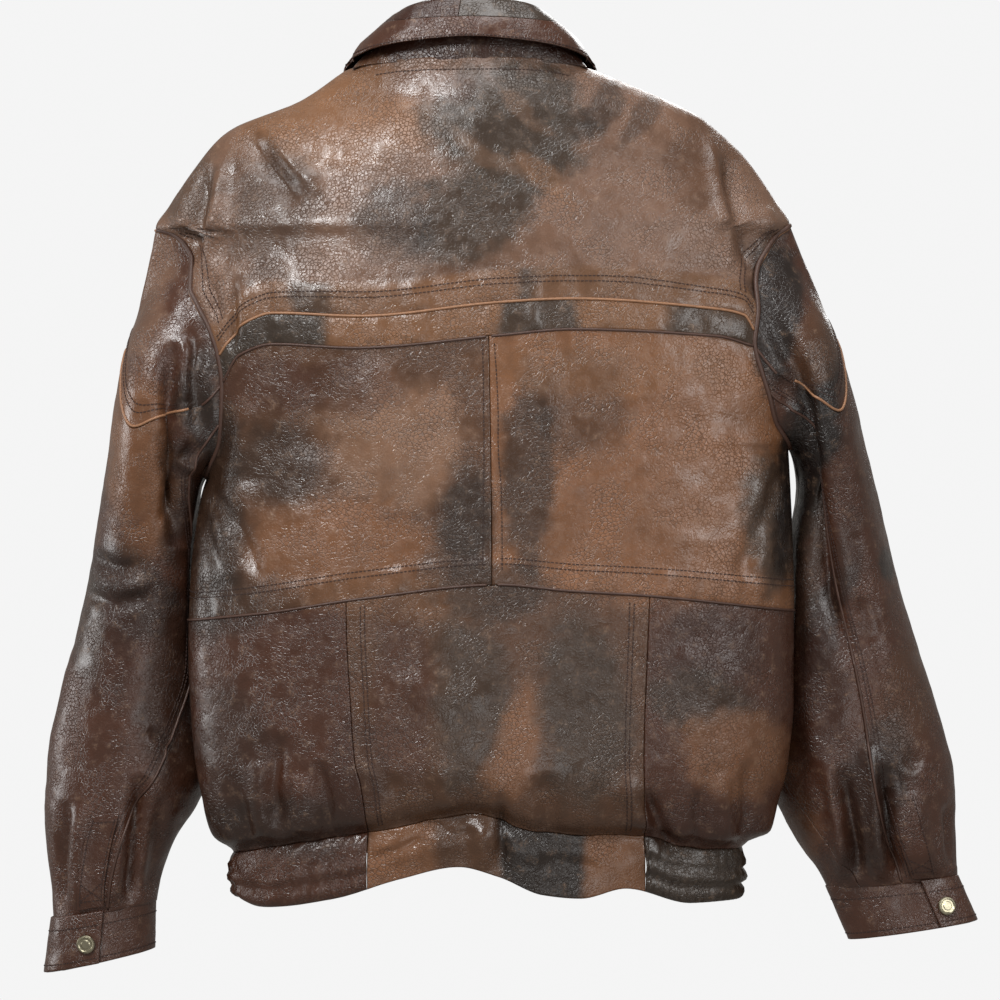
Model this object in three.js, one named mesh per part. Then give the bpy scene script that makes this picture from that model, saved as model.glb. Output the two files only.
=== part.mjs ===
// A leather blouson hanging on a wooden hanger. Millimetres, +Z up, +X to the right seen from behind,
// the back of the jacket faces -Y. The origin is the inside top of the hanger's hook.
import * as THREE from "three";

// Driving sizes.
const LEATHER = 1.8;
const SEAM = 0.15;
const ARMHOLE_REACH = 0.16;
const ARMHOLE_GAP = 1.6;
const LONG_SEAM_GAP = 1.8;
const SIDES = { left: -1, right: 1 };
const BACK = -1;
const FRONT = 1;
const ZIP_HALF = 6;
const NECK = { x: 2.5, halfWidth: 97, sideZ: -127, drop: 79 };
const HANGER = { bevel: 2, thickness: 12, tilt: 0.9, wire: 4, hookRadius: 18, crownZ: -61 };
const SNAP = { radius: 7.6, height: 2.6 };

// A smooth curve through [position, value] keys that never overshoots them.
function smooth(keys) {
  const rises = keys.slice(1).map(([v, f], i) => (f - keys[i][1]) / (v - keys[i][0]));
  const slopes = keys.map((key, i) => {
    const before = rises[Math.max(i - 1, 0)];
    const after = rises[Math.min(i, rises.length - 1)];
    return before * after > 0 ? (2 * before * after) / (before + after) : 0;
  });
  return (where) => {
    const v = THREE.MathUtils.clamp(where, keys[0][0], keys.at(-1)[0]);
    const i = Math.max(keys.findLastIndex((key, k) => key[0] <= v && k < rises.length), 0);
    const h = keys[i + 1][0] - keys[i][0];
    const t = (v - keys[i][0]) / h;
    const rest = 1 - t;
    const ends = (1 + 2 * t) * rest * rest * keys[i][1] + t * t * (3 - 2 * t) * keys[i + 1][1];
    return ends + h * t * rest * (rest * slopes[i] - t * slopes[i + 1]);
  };
}

// Outline of the body at each height: its edges are the side seams, armholes and shoulder line.
const edge = {
  left: smooth([[-812, -187], [-775, -199], [-754, -211], [-729, -218], [-704, -222], [-656, -227],
    [-603, -229], [-541, -227], [-480, -219], [-462, -214], [-430, -201], [-386, -199], [-362, -202.5],
    [-342, -209], [-320, -220], [-307, -225.5], [-284, -225], [-271, -231], [-262, -242], [-257, -256],
    [-239, -245], [-200, -218], [-182, -202.5], [-174, -191], [-152, -137], [-127, -100]]),
  right: smooth([[-812, 221], [-777, 230], [-762, 240], [-752, 250], [-729, 256], [-691, 264],
    [-645, 268], [-562, 268], [-438, 264], [-417, 252], [-395, 246], [-375, 239.5], [-353, 234],
    [-324, 237], [-303, 235.5], [-291, 237], [-276, 244.5], [-263, 253.5], [-253.5, 265], [-237, 255],
    [-199, 228], [-172, 200], [-165, 191], [-127, 105]]),
};
const centreX = smooth([[-812, 17], [-770, 20], [-560, 20.5], [-350, 18], [-205, 2.5], [-120, 2.5]]);
const depth = {
  [BACK]: smooth([[-815, 66], [-775, 71], [-745, 82], [-690, 95], [-600, 94], [-450, 90], [-350, 86],
    [-257, 80], [-200, 74], [-150, 62], [-120, 50]]),
  [FRONT]: smooth([[-815, 64], [-775, 69], [-745, 80], [-690, 91], [-600, 90], [-450, 86], [-350, 82],
    [-257, 74], [-200, 66], [-150, 58], [-120, 50]]),
};
const squareness = smooth([[-780, 2.4], [-500, 2.3], [-350, 2.1], [-260, 1.7], [-210, 1.5], [-160, 1.5],
  [-120, 1.9]]);
const tip = { left: -257, right: -253.5 };
const pit = { left: -462, right: -438 };

function reach(side, z) {
  const along = (z - pit[side]) / (tip[side] - pit[side]);
  return 1 + (along > 0 && along < 1 ? ARMHOLE_REACH * Math.sin(Math.PI * along) : 0);
}

function halfWidth(side, z) {
  return ((edge.right(z) - edge.left(z)) / 2) * reach(side, z);
}

function middle(z) {
  return (edge.left(z) + edge.right(z)) / 2;
}

// Angle round the body at height z: -90 and 90 degrees are the widest points, 0 is the middle.
function turnOf(x, z) {
  const side = x < middle(z) ? "left" : "right";
  const u = THREE.MathUtils.clamp((x - middle(z)) / halfWidth(side, z), -1, 1);
  return Math.sign(u) * Math.asin(Math.abs(u) ** (squareness(z) / 2));
}

function wallAt(turn, z, face) {
  const side = turn < 0 ? "left" : "right";
  const power = 2 / squareness(z);
  const x = middle(z) + halfWidth(side, z) * Math.sign(turn) * Math.abs(Math.sin(turn)) ** power;
  return new THREE.Vector3(x, face * depth[face](z) * Math.max(Math.cos(turn), 0) ** power, z);
}

function insideness(p, face) {
  const side = p.x < middle(p.z) ? "left" : "right";
  const n = squareness(p.z);
  const across = Math.abs(p.x - middle(p.z)) / halfWidth(side, p.z);
  return across ** n + (Math.abs(p.y) / depth[face](p.z)) ** n;
}

function wallNormal(p, face) {
  const step = 0.5;
  const slope = (axis) => {
    const ahead = p.clone();
    const behind = p.clone();
    ahead[axis] += step;
    behind[axis] -= step;
    return insideness(ahead, face) - insideness(behind, face);
  };
  return new THREE.Vector3(slope("x"), Math.abs(p.y) < step ? 0 : slope("y"), slope("z")).normalize();
}

// Level lines of the back, from the hem up: each gives its height across the body.
const levelLines = [
  smooth([[-189, -805], [-167, -812], [-109, -804], [-54, -787], [-7, -777], [26, -785], [62, -800],
    [93, -803], [129, -795], [183, -808], [222, -807]]),
  smooth([[-199, -773], [-144, -763], [-83, -753], [-30, -742], [8, -737], [50, -750], [97, -755],
    [147, -756], [171, -765], [232, -770]]),
  smooth([[-229, -579], [-160, -571.5], [-85, -560], [27, -548.5], [82, -553.5], [146, -557.6],
    [268, -571]]),
  smooth([[-214, -462], [264, -438]]),
  smooth([[-199, -386], [-184, -362], [-157, -353.5], [-90, -357], [27, -347], [86, -342], [203, -347],
    [234, -355]]),
  smooth([[-202, -364], [-184, -340], [-157, -329], [-85, -332], [27, -321], [86, -318], [203, -325.5],
    [225, -330], [235, -345]]),
  smooth([[-256, -257], [265, -253.5]]),
  smooth([[-100, -127], [-50, -120.5], [0, -119.5], [50, -120], [105, -127]]),
];
const LEVEL = { hem: 0, waist: 1, low: 2, pit: 3, bandLow: 4, bandTop: 5, tip: 6, neck: 7 };
const ROWS = [1, 6, 3, 3, 1, 5, 5];

// Upright lines of the back, from the left edge to the right edge.
const lowSeam = {
  left: smooth([[-812, -81], [-752, -81], [-711, -85], [-691, -90], [-654, -93], [-564, -97], [-127, -50]]),
  right: smooth([[-812, 145], [-755, 145], [-692, 143], [-601, 146], [-558, 147.5], [-127, 55]]),
};
const COLUMNS = [5, 4, 4, 5];

function blend(list, position) {
  const i = Math.min(Math.floor(position), list.length - 2);
  return THREE.MathUtils.lerp(list[i], list[i + 1], position - i);
}

function backTurn(column, z) {
  const lines = [edge.left(z), lowSeam.left(z), centreX(z), lowSeam.right(z), edge.right(z)];
  return blend(lines.map((x) => turnOf(x, z)), column);
}

function backPoint(column, level) {
  let z = -400;
  for (let i = 0; i < 30; i++) {
    const x = wallAt(backTurn(column, z), z, BACK).x;
    z = blend(levelLines.map((line) => line(x)), level);
  }
  return wallAt(backTurn(column, z), z, BACK);
}

// The front meets the back's heights at the side edges. Its waist and hem rise toward the zip.
const FRONT_RISE = { height: 30, full: 0.7, from: LEVEL.pit, to: LEVEL.waist };

function frontHeight(side, level, column) {
  const across = THREE.MathUtils.smoothstep(column, 0, FRONT_RISE.full);
  const down = THREE.MathUtils.smoothstep(FRONT_RISE.from - level, 0, FRONT_RISE.from - FRONT_RISE.to);
  return backPoint(side === "left" ? 0 : 4, level).z + FRONT_RISE.height * across * down;
}

function frontInner(side, z) {
  const up = (NECK.sideZ - z) / NECK.drop;
  const sweep = up < 1 ? NECK.halfWidth * Math.sqrt(1 - Math.max(up, 0) ** 2) : 0;
  return centreX(z) + SIDES[side] * Math.max(ZIP_HALF, sweep);
}

function frontPoint(side, column, level) {
  const z = frontHeight(side, level, column);
  const turns = [turnOf(edge[side](z), z), turnOf(frontInner(side, z), z)];
  return wallAt(blend(turns, column), z, FRONT);
}

// A closed leather wall: a grid of outer points, each with the direction that faces out.
function wallGeometry(outer, normals, thickness) {
  const rows = outer.length;
  const columns = outer[0].length;
  const sunk = (p, normal) => p.clone().addScaledVector(normal, -thickness);
  const inner = outer.map((row, j) => row.map((p, i) => sunk(p, normals[j][i])));
  const positions = [outer, inner].flat(2).flatMap((p) => p.toArray());
  const at = (layer, j, i) => layer * rows * columns + j * columns + i;
  const faces = [];
  const quad = (a, b, c, d) => faces.push(b, c, a, c, d, a);
  for (let j = 0; j < rows - 1; j++) {
    for (let i = 0; i < columns - 1; i++) {
      quad(at(0, j, i), at(0, j, i + 1), at(0, j + 1, i + 1), at(0, j + 1, i));
      quad(at(1, j + 1, i), at(1, j + 1, i + 1), at(1, j, i + 1), at(1, j, i));
    }
  }
  for (let i = 0; i < columns - 1; i++) {
    quad(at(0, 0, i + 1), at(0, 0, i), at(1, 0, i), at(1, 0, i + 1));
    quad(at(0, rows - 1, i), at(0, rows - 1, i + 1), at(1, rows - 1, i + 1), at(1, rows - 1, i));
  }
  for (let j = 0; j < rows - 1; j++) {
    quad(at(0, j, 0), at(0, j + 1, 0), at(1, j + 1, 0), at(1, j, 0));
    const last = columns - 1;
    quad(at(0, j + 1, last), at(0, j, last), at(1, j, last), at(1, j + 1, last));
  }
  if (signedVolume(positions, faces) < 0) {
    for (let f = 0; f < faces.length; f += 3) {
      [faces[f + 1], faces[f + 2]] = [faces[f + 2], faces[f + 1]];
    }
  }
  const geometry = new THREE.BufferGeometry();
  geometry.setAttribute("position", new THREE.Float32BufferAttribute(positions, 3));
  geometry.setIndex(faces);
  geometry.computeVertexNormals();
  return geometry;
}

function signedVolume(positions, faces) {
  const corner = (i) => new THREE.Vector3().fromArray(positions, 3 * i);
  let sum = 0;
  for (let f = 0; f < faces.length; f += 3) {
    const [a, b, c] = [0, 1, 2].map((k) => corner(faces[f + k]));
    sum += a.dot(b.cross(c));
  }
  return sum;
}

const finish = {
  tan: new THREE.MeshStandardMaterial({ color: 0x96694a, roughness: 0.5 }),
  brown: new THREE.MeshStandardMaterial({ color: 0x6e4636, roughness: 0.5 }),
  dark: new THREE.MeshStandardMaterial({ color: 0x4a3a34, roughness: 0.5 }),
  tape: new THREE.MeshStandardMaterial({ color: 0x2c221e, roughness: 0.9 }),
  metal: new THREE.MeshStandardMaterial({ color: 0x96927a, roughness: 0.35, metalness: 1 }),
  wood: new THREE.MeshStandardMaterial({ color: 0xe1b96e, roughness: 0.45 }),
};

const group = new THREE.Group();

function add(name, geometry, material) {
  const mesh = new THREE.Mesh(geometry, material);
  mesh.name = name;
  group.add(mesh);
  return mesh;
}

// Positions from start to end through every whole number, each unit split as the counts say.
function stops(start, end, counts) {
  const list = [start];
  for (let unit = start; unit < end; unit++) {
    for (let k = 1; k <= counts[unit]; k++) {
      list.push(unit + k / counts[unit]);
    }
  }
  return list;
}

// Moves the outermost rows and columns of a grid inwards by half a seam's gap.
function inset(grid, gaps) {
  const toward = (p, q, gap) => p.lerp(q, gap / p.distanceTo(q));
  const last = grid.length - 1;
  grid[0].forEach((p, i) => toward(p, grid[1][i], gaps.low));
  grid[last].forEach((p, i) => toward(p, grid[last - 1][i], gaps.high));
  for (const row of grid) {
    toward(row[0], row[1], gaps.start);
    toward(row.at(-1), row.at(-2), gaps.end);
  }
  return grid;
}

function panel(name, material, grid, normalOf, gaps = {}, thickness = LEATHER) {
  const all = { low: SEAM, high: SEAM, start: SEAM, end: SEAM, ...gaps };
  const normals = grid.map((row) => row.map(normalOf));
  return add(name, wallGeometry(inset(grid, all), normals, thickness), material);
}

const backNormal = (p) => wallNormal(p, BACK);
const frontNormal = (p) => wallNormal(p, FRONT);

function backPanel(name, material, columns, levels) {
  const across = stops(columns[0], columns[1], COLUMNS);
  const up = stops(levels[0], levels[1], ROWS);
  panel(name, material, up.map((level) => across.map((column) => backPoint(column, level))), backNormal);
}

backPanel("back_yoke", finish.tan, [0, 4], [LEVEL.bandTop, LEVEL.neck]);
backPanel("back_band", finish.dark, [0, 4], [LEVEL.bandLow, LEVEL.bandTop]);
backPanel("back_mid_left", finish.tan, [0, 2], [LEVEL.low, LEVEL.bandLow]);
backPanel("back_mid_right", finish.tan, [2, 4], [LEVEL.low, LEVEL.bandLow]);
backPanel("back_low_left", finish.brown, [0, 1], [LEVEL.waist, LEVEL.low]);
backPanel("back_low_centre", finish.brown, [1, 3], [LEVEL.waist, LEVEL.low]);
backPanel("back_low_right", finish.brown, [3, 4], [LEVEL.waist, LEVEL.low]);
backPanel("waist_back", finish.brown, [1, 3], [LEVEL.hem, LEVEL.waist]);

const FRONT_COLUMNS = 7;
const frontStops = Array.from({ length: FRONT_COLUMNS + 1 }, (_, i) => i / FRONT_COLUMNS);
const ELASTIC_FRONT_STOP = 3;

function frontPanels(side) {
  const up = stops(LEVEL.waist, LEVEL.neck, ROWS);
  panel(`front_${side}`, finish.brown,
    up.map((level) => frontStops.map((column) => frontPoint(side, column, level))), frontNormal);
  const waist = stops(LEVEL.hem, LEVEL.waist, ROWS);
  const smoothPart = frontStops.slice(ELASTIC_FRONT_STOP);
  panel(`waist_front_${side}`, finish.brown,
    waist.map((level) => smoothPart.map((column) => frontPoint(side, column, level))), frontNormal);
}

// The elasticated waist runs from the back, round the side seam, to the front.
function elastic(side) {
  const backStops = side === "left" ? stops(0, 1, COLUMNS).reverse() : stops(3, 4, COLUMNS);
  const wrap = frontStops.slice(1, ELASTIC_FRONT_STOP + 1);
  const grid = stops(LEVEL.hem, LEVEL.waist, ROWS).map((level) => [
    ...backStops.map((column) => backPoint(column, level)),
    ...wrap.map((column) => frontPoint(side, column, level)),
  ]);
  panel(`waist_elastic_${side}`, finish.dark, grid, (p) => wallNormal(p, p.y > 0 ? FRONT : BACK));
}

Object.keys(SIDES).forEach(frontPanels);
Object.keys(SIDES).forEach(elastic);

// Sleeves: rings between an outer and an inner point, each with its half depth and its place along Y.
const stations = {
  left: [
    [0.14, -274, -339, -219, -472, 62, 8], [0.24, -288.5, -395, -221, -492, 64, 18],
    [0.39, -303.4, -480, -219, -524, 62, 34], [0.53, -318.2, -562, -219, -580, 60, 46],
    [0.685, -337.8, -649, -219, -655, 58, 50], [0.785, -349.3, -706, -213, -702, 56, 50],
    [0.843, -351, -740, -224, -731, 52, 48], [0.909, -348.5, -777, -243, -762, 46, 46],
    [0.957, -345, -806, -255.5, -797, 40, 44], [1, -343.6, -829, -258, -813, 35, 44]],
  right: [
    [0.14, 297, -332, 267, -448, 60, 8], [0.24, 314, -384, 270, -474, 62, 18],
    [0.39, 332, -449, 267, -510, 62, 34], [0.53, 360.8, -562, 260, -580, 60, 46],
    [0.685, 389, -651, 257, -665, 58, 50], [0.785, 405, -712, 252, -716, 55, 50],
    [0.843, 406, -742, 263, -745, 50, 48], [0.909, 406, -768, 279, -771, 42, 46],
    [0.957, 406, -782, 291, -786, 33, 44], [1, 407, -794, 299.5, -803, 24, 44]],
};
const CLEAR_OF_BODY = 3;
const armholeTurns = smooth([[0, LEVEL.tip], [95, LEVEL.bandTop], [115, LEVEL.bandLow], [180, LEVEL.pit]]);

// Point of the armhole at an angle: 0 is the shoulder tip, 90 the back, 180 the armpit, 270 the front.
function armholePoint(side, degrees) {
  const onBack = degrees <= 180;
  const level = armholeTurns(onBack ? degrees : 360 - degrees);
  return onBack ? backPoint(side === "left" ? 0 : 4, level) : frontPoint(side, 0, level);
}

function keptClear(p) {
  if (p.z > pit.right - 12 || p.z < -800) {
    return p;
  }
  const face = p.y > 0 ? FRONT : BACK;
  const n = squareness(p.z);
  const side = p.x < middle(p.z) ? "left" : "right";
  const half = halfWidth(side, p.z) + CLEAR_OF_BODY;
  const outward = Math.min(Math.abs(p.y) / (depth[face](p.z) + CLEAR_OF_BODY), 1);
  const limit = half * (1 - outward ** n) ** (1 / n);
  const offset = Math.max(Math.abs(p.x - middle(p.z)), limit);
  return new THREE.Vector3(middle(p.z) + SIDES[side] * offset, p.y, p.z);
}

function sleevePoint(side, degrees, along) {
  const angle = THREE.MathUtils.degToRad(degrees);
  const chain = [[0, ...armholePoint(side, ((degrees % 360) + 360) % 360).toArray()]];
  for (const [knot, outX, outZ, inX, inZ, half, y] of stations[side]) {
    const lean = (1 + Math.cos(angle)) / 2;
    chain.push([knot, THREE.MathUtils.lerp(inX, outX, lean), y - half * Math.sin(angle),
      THREE.MathUtils.lerp(inZ, outZ, lean)]);
  }
  const [x, y, z] = [1, 2, 3].map((k) => smooth(chain.map((key) => [key[0], key[k]]))(along));
  const p = new THREE.Vector3(x, y, z);
  return along < 0.03 ? p : keptClear(p);
}

function sleeveNormal(side, degrees, along) {
  if (along < 0.005) {
    const p = armholePoint(side, ((degrees % 360) + 360) % 360);
    return wallNormal(p, p.y > 0 ? FRONT : BACK);
  }
  const late = Math.min(along + 0.01, 1);
  const acrossIt = sleevePoint(side, degrees + 2, along).sub(sleevePoint(side, degrees - 2, along));
  const alongIt = sleevePoint(side, degrees, late).sub(sleevePoint(side, degrees, along - 0.01));
  return acrossIt.cross(alongIt).multiplyScalar(SIDES[side]).normalize();
}

// Seams of the sleeves: the cap's lower edge over the top, and two long seams from armhole to cuff.
const CAP_END = 115;
const capEdge = smooth([[-115, 0.052], [-90, 0.16], [-60, 0.24], [0, 0.17], [60, 0.24], [90, 0.16],
  [115, 0.052]]);
const rearSeam = {
  left: smooth([[0, 136.7], [0.4, 150], [0.6, 150], [0.74, 124], [0.85, 103], [1, 96]]),
  right: smooth([[0, 136.7], [0.3, 120], [0.6, 90], [1, 84]]),
};
const underSeam = {
  left: smooth([[0, 223.3], [1, 200]]),
  right: smooth([[0, 180], [0.7, 168], [0.85, 135], [1, 122]]),
};
const ANGLES = [0, 23.75, 47.5, 71.25, 95, 115];
const UNDERARM = [136.7, 158.3, 180, 201.7, 223.3];
const SLEEVE_ROWS = 12;

function spread(from, to, count) {
  return Array.from({ length: count + 1 }, (_, i) => THREE.MathUtils.lerp(from, to, i / count));
}

function sleevePanel(name, side, material, rows, gaps) {
  const grid = rows.map((row) => row.map(([degrees, along]) => sleevePoint(side, degrees, along)));
  const normals = rows.map((row) => row.map(([degrees, along]) => sleeveNormal(side, degrees, along)));
  const all = { low: SEAM, high: SEAM, start: SEAM, end: SEAM, ...gaps };
  add(name, wallGeometry(inset(grid, all), normals, LEATHER), material);
}

function sleeve(side) {
  const over = [...ANGLES.slice(1).reverse().map((a) => -a), ...ANGLES];
  const cap = spread(0, 1, 2).map((t) => over.map((a) => [a, t * capEdge(a)]));
  sleevePanel(`sleeve_cap_${side}`, side, finish.brown, cap, { low: ARMHOLE_GAP });

  const start = (degrees) => (Math.abs(degrees) <= CAP_END ? capEdge(degrees) : 0);
  const strip = (from, to, starts) => spread(0, 1, SLEEVE_ROWS).map((t) => starts.map((first) => {
    const low = start(first);
    const share = (first - from(low)) / (to(low) - from(low));
    const along = THREE.MathUtils.lerp(low, 1, t);
    return [THREE.MathUtils.lerp(from(along), to(along), share), along];
  }));
  const front = (along) => underSeam[side](along) - 360;
  const below = side === "left" ? UNDERARM : UNDERARM.slice(0, 3);
  const before = UNDERARM.slice(side === "left" ? 4 : 2).map((a) => a - 360);
  sleevePanel(`sleeve_outer_${side}`, side, finish.tan,
    strip(front, rearSeam[side], [...before, ...over, UNDERARM[0]]), { low: ARMHOLE_GAP });
  sleevePanel(`sleeve_under_${side}`, side, finish.dark,
    strip(rearSeam[side], underSeam[side], below), { low: ARMHOLE_GAP, start: LONG_SEAM_GAP });
}

Object.keys(SIDES).forEach(sleeve);

// What lies on a sleeve or a front is worked out from that surface and moved out along its normal.
function lifted(p, normal, lift) {
  return p.clone().addScaledVector(normal, lift);
}

const plackets = {
  left: { from: 0.845, middle: [82, 78], half: [10, 14] },
  right: { from: 0.79, middle: [71, 62], half: [9, 12] },
};
const PLACKET_LIFT = 0.9;
const PLACKET_THICKNESS = 1;
const PLACKET_END = 0.985;

function placket(side) {
  const { from, middle: turn, half } = plackets[side];
  const grid = [];
  const normals = [];
  for (const t of spread(0, 1, 5)) {
    const along = THREE.MathUtils.lerp(from, PLACKET_END, t);
    const at = THREE.MathUtils.lerp(turn[0], turn[1], t);
    const reachOut = THREE.MathUtils.lerp(half[0], half[1], t);
    const angles = spread(at - reachOut, at + reachOut, 3);
    const row = angles.map((angle) => sleeveNormal(side, angle, along));
    normals.push(row);
    const lift = PLACKET_LIFT + PLACKET_THICKNESS;
    grid.push(angles.map((angle, i) => lifted(sleevePoint(side, angle, along), row[i], lift)));
  }
  add(`placket_${side}`, wallGeometry(grid, normals, PLACKET_THICKNESS), finish.dark);
}

// A cuff is one strip round the wrist. Its end overlaps its start and closes with the snap.
const cuffs = {
  left: { top: [-344.5, -832, -258.5, -816, 35], low: [-350, -872, -259.5, -852, 34], end: 92, snap: 77 },
  right: { top: [408, -796.5, 299.5, -806, 24], low: [422, -829, 316, -845, 25], end: 66, snap: 52 },
};
const CUFF = { y: 44, overlap: 44, lift: 3, thickness: 2.2, steps: 26 };

function cuffPoint(side, degrees, along) {
  const { top, low } = cuffs[side];
  const [outX, outZ, inX, inZ, half] = top.map((value, i) => THREE.MathUtils.lerp(value, low[i], along));
  const angle = THREE.MathUtils.degToRad(degrees);
  const lean = (1 + Math.cos(angle)) / 2;
  const x = THREE.MathUtils.lerp(inX, outX, lean);
  return new THREE.Vector3(x, CUFF.y - half * Math.sin(angle), THREE.MathUtils.lerp(inZ, outZ, lean));
}

function cuffNormal(side, degrees) {
  const acrossIt = cuffPoint(side, degrees + 2, 0.5).sub(cuffPoint(side, degrees - 2, 0.5));
  const alongIt = cuffPoint(side, degrees, 1).sub(cuffPoint(side, degrees, 0));
  return acrossIt.cross(alongIt).multiplyScalar(SIDES[side]).normalize();
}

function cuffOuter(side, degrees, along) {
  const lift = CUFF.lift * THREE.MathUtils.smoothstep(degrees, -50, 30);
  return lifted(cuffPoint(side, degrees, along), cuffNormal(side, degrees), lift);
}

function cuff(side) {
  const { end, snap } = cuffs[side];
  const angles = spread(end - CUFF.overlap - 360, end, CUFF.steps);
  const grid = [0, 0.5, 1].map((along) => angles.map((angle) => cuffOuter(side, angle, along)));
  const normals = grid.map(() => angles.map((angle) => cuffNormal(side, angle)));
  add(`cuff_${side}`, wallGeometry(grid, normals, CUFF.thickness), finish.brown);

  const cap = new THREE.CylinderGeometry(SNAP.radius * 0.8, SNAP.radius, SNAP.height, 20);
  const out = cuffNormal(side, snap);
  const button = add(`snap_${side}`, cap, finish.metal);
  button.quaternion.setFromUnitVectors(new THREE.Vector3(0, 1, 0), out);
  button.position.copy(lifted(cuffOuter(side, snap, 0.52), out, SNAP.height / 2 + 0.4));
}

Object.keys(SIDES).forEach(placket);
Object.keys(SIDES).forEach(cuff);

// The zip: two tapes behind the fronts, the closed chain between them, slider and pull tab at the top.
const ZIP_TOP = NECK.sideZ - NECK.drop;
const ZIP = { chainHalf: 2.7, tapeHalf: 15, slider: [8, 8, 13], axisLift: 6.5, pullLength: 30 };

function frontStrip(name, material, sides, top, lift, thickness) {
  const levels = stops(LEVEL.hem, LEVEL.tip, ROWS);
  const heights = levels.map((level) => frontHeight("left", level, 1)).concat([-231, top]);
  const grid = heights.map((z) => sides.map((offset) => {
    const p = wallAt(turnOf(centreX(z) + offset, z), z, FRONT);
    return lifted(p, frontNormal(p), lift);
  }));
  add(name, wallGeometry(grid, grid.map((row) => row.map(frontNormal)), thickness), material);
}

const chainTop = ZIP_TOP - ZIP.slider[2] - 1;
frontStrip("zip_chain", finish.metal, [-ZIP.chainHalf, ZIP.chainHalf], chainTop, 0.6, 2.8);
frontStrip("zip_tape_left", finish.tape, [-ZIP.tapeHalf, -ZIP.chainHalf - 0.4], ZIP_TOP + 0.5, -2.6, 0.8);
frontStrip("zip_tape_right", finish.tape, [ZIP.chainHalf + 0.4, ZIP.tapeHalf], ZIP_TOP + 0.5, -2.6, 0.8);

// A frame on the front's surface at the slider: X across, Y up along the front, Z straight out.
function sliderFrame() {
  const z = ZIP_TOP - ZIP.slider[2] / 2 - 0.6;
  const p = wallAt(turnOf(centreX(z), z), z, FRONT);
  const out = frontNormal(p).setX(0).normalize();
  const right = new THREE.Vector3(-1, 0, 0);
  const up = out.clone().cross(right);
  return new THREE.Matrix4().makeBasis(right, up, out).setPosition(p);
}

function place(name, geometry, material, frame) {
  geometry.applyMatrix4(frame);
  return add(name, geometry, material);
}

// A slider seen from the side: a flat body with a lug at each side that carries the pull tab's pin.
function sliderGeometry() {
  const [width, height, length] = ZIP.slider;
  const base = new THREE.Shape();
  base.moveTo(-width / 2, -2);
  base.lineTo(width / 2, -2);
  base.lineTo(width / 2, height);
  base.lineTo(width / 2 - 1.4, height);
  base.lineTo(width / 2 - 1.4, 3.4);
  base.lineTo(-width / 2 + 1.4, 3.4);
  base.lineTo(-width / 2 + 1.4, height);
  base.lineTo(-width / 2, height);
  base.closePath();
  const solid = new THREE.ExtrudeGeometry(base, { depth: length, bevelEnabled: false });
  solid.rotateX(Math.PI / 2);
  solid.translate(0, length / 2, 0);
  return solid;
}

function pullGeometry() {
  const neck = ZIP.slider[0] / 2 - 2;
  const tab = new THREE.Shape();
  tab.moveTo(-neck, 1.5);
  tab.lineTo(-neck, -8);
  tab.lineTo(-4, -11);
  tab.lineTo(-4, -ZIP.pullLength + 4);
  tab.absarc(0, -ZIP.pullLength + 4, 4, Math.PI, 2 * Math.PI);
  tab.lineTo(4, -11);
  tab.lineTo(neck, -8);
  tab.lineTo(neck, 1.5);
  const solid = new THREE.ExtrudeGeometry(tab, { depth: 1.6, bevelEnabled: false, curveSegments: 8 });
  solid.translate(0, 0, ZIP.axisLift - 0.8);
  return solid;
}

place("zip_slider", sliderGeometry(), finish.metal, sliderFrame());
place("zip_pull", pullGeometry(), finish.metal, sliderFrame());

// The collar: lines run from its left front end (-1), round the back of the neck (0), to the right (1).
const collarKeys = [0, 1 / 6, 2 / 6, 3 / 6, 4 / 6, 5 / 6, 1];

function mirrored(values, sign) {
  const right = collarKeys.map((k, i) => [k, values[i]]);
  const left = right.slice(1).reverse().map(([k, value]) => [-k, sign * value]);
  return smooth([...left, ...right]);
}

const collarLines = {
  seam: {
    x: mirrored([0, 48, 82, 94.5, 82, 50, 12], -1),
    z: mirrored([-118, -118.7, -121, -125.6, -156, -186, -201], 1),
  },
  fold: {
    x: mirrored([0, 40, 68, 82, 76, 48, 16], -1),
    z: mirrored([-72.5, -76, -91, -110, -138, -164, -178], 1),
  },
  edge: {
    x: mirrored([0, 52, 88, 104, 106, 92, 62], -1),
    z: mirrored([-104, -108, -115, -124.5, -165, -214, -240], 1),
  },
};
const foldY = mirrored([-42, -39, -24, 3, 28, 46, 56], 1);
const edgeBackY = mirrored([-61, -56, -36, 0, 0, 0, 0], 1);
const COLLAR = { x: 4, lay: 7.5, roll: 3.4, split: -0.035, topEnd: 0.36, thickness: 2 };

function frontY(x, z) {
  return wallAt(turnOf(x, z), z, FRONT).y;
}

function seamPoint(k) {
  const [x, z] = [NECK.x + collarLines.seam.x(k), collarLines.seam.z(k)];
  const face = Math.abs(k) > 0.5 ? FRONT : BACK;
  return new THREE.Vector3(x, wallAt(turnOf(x, z), z, face).y, z);
}

function foldPoint(k) {
  return new THREE.Vector3(COLLAR.x + collarLines.fold.x(k), foldY(k), collarLines.fold.z(k));
}

function edgePoint(k) {
  const [x, z] = [NECK.x + collarLines.edge.x(k), collarLines.edge.z(k)];
  const y = Math.abs(k) < 0.5 ? edgeBackY(k) : frontY(x, z) + COLLAR.lay;
  return new THREE.Vector3(x, y, z);
}

function collarOutward(k) {
  const ahead = foldPoint(Math.min(k + 0.02, 1));
  const behind = foldPoint(Math.max(k - 0.02, -1));
  const down = seamPoint(k).sub(foldPoint(k));
  return behind.sub(ahead).cross(down).normalize();
}

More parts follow.
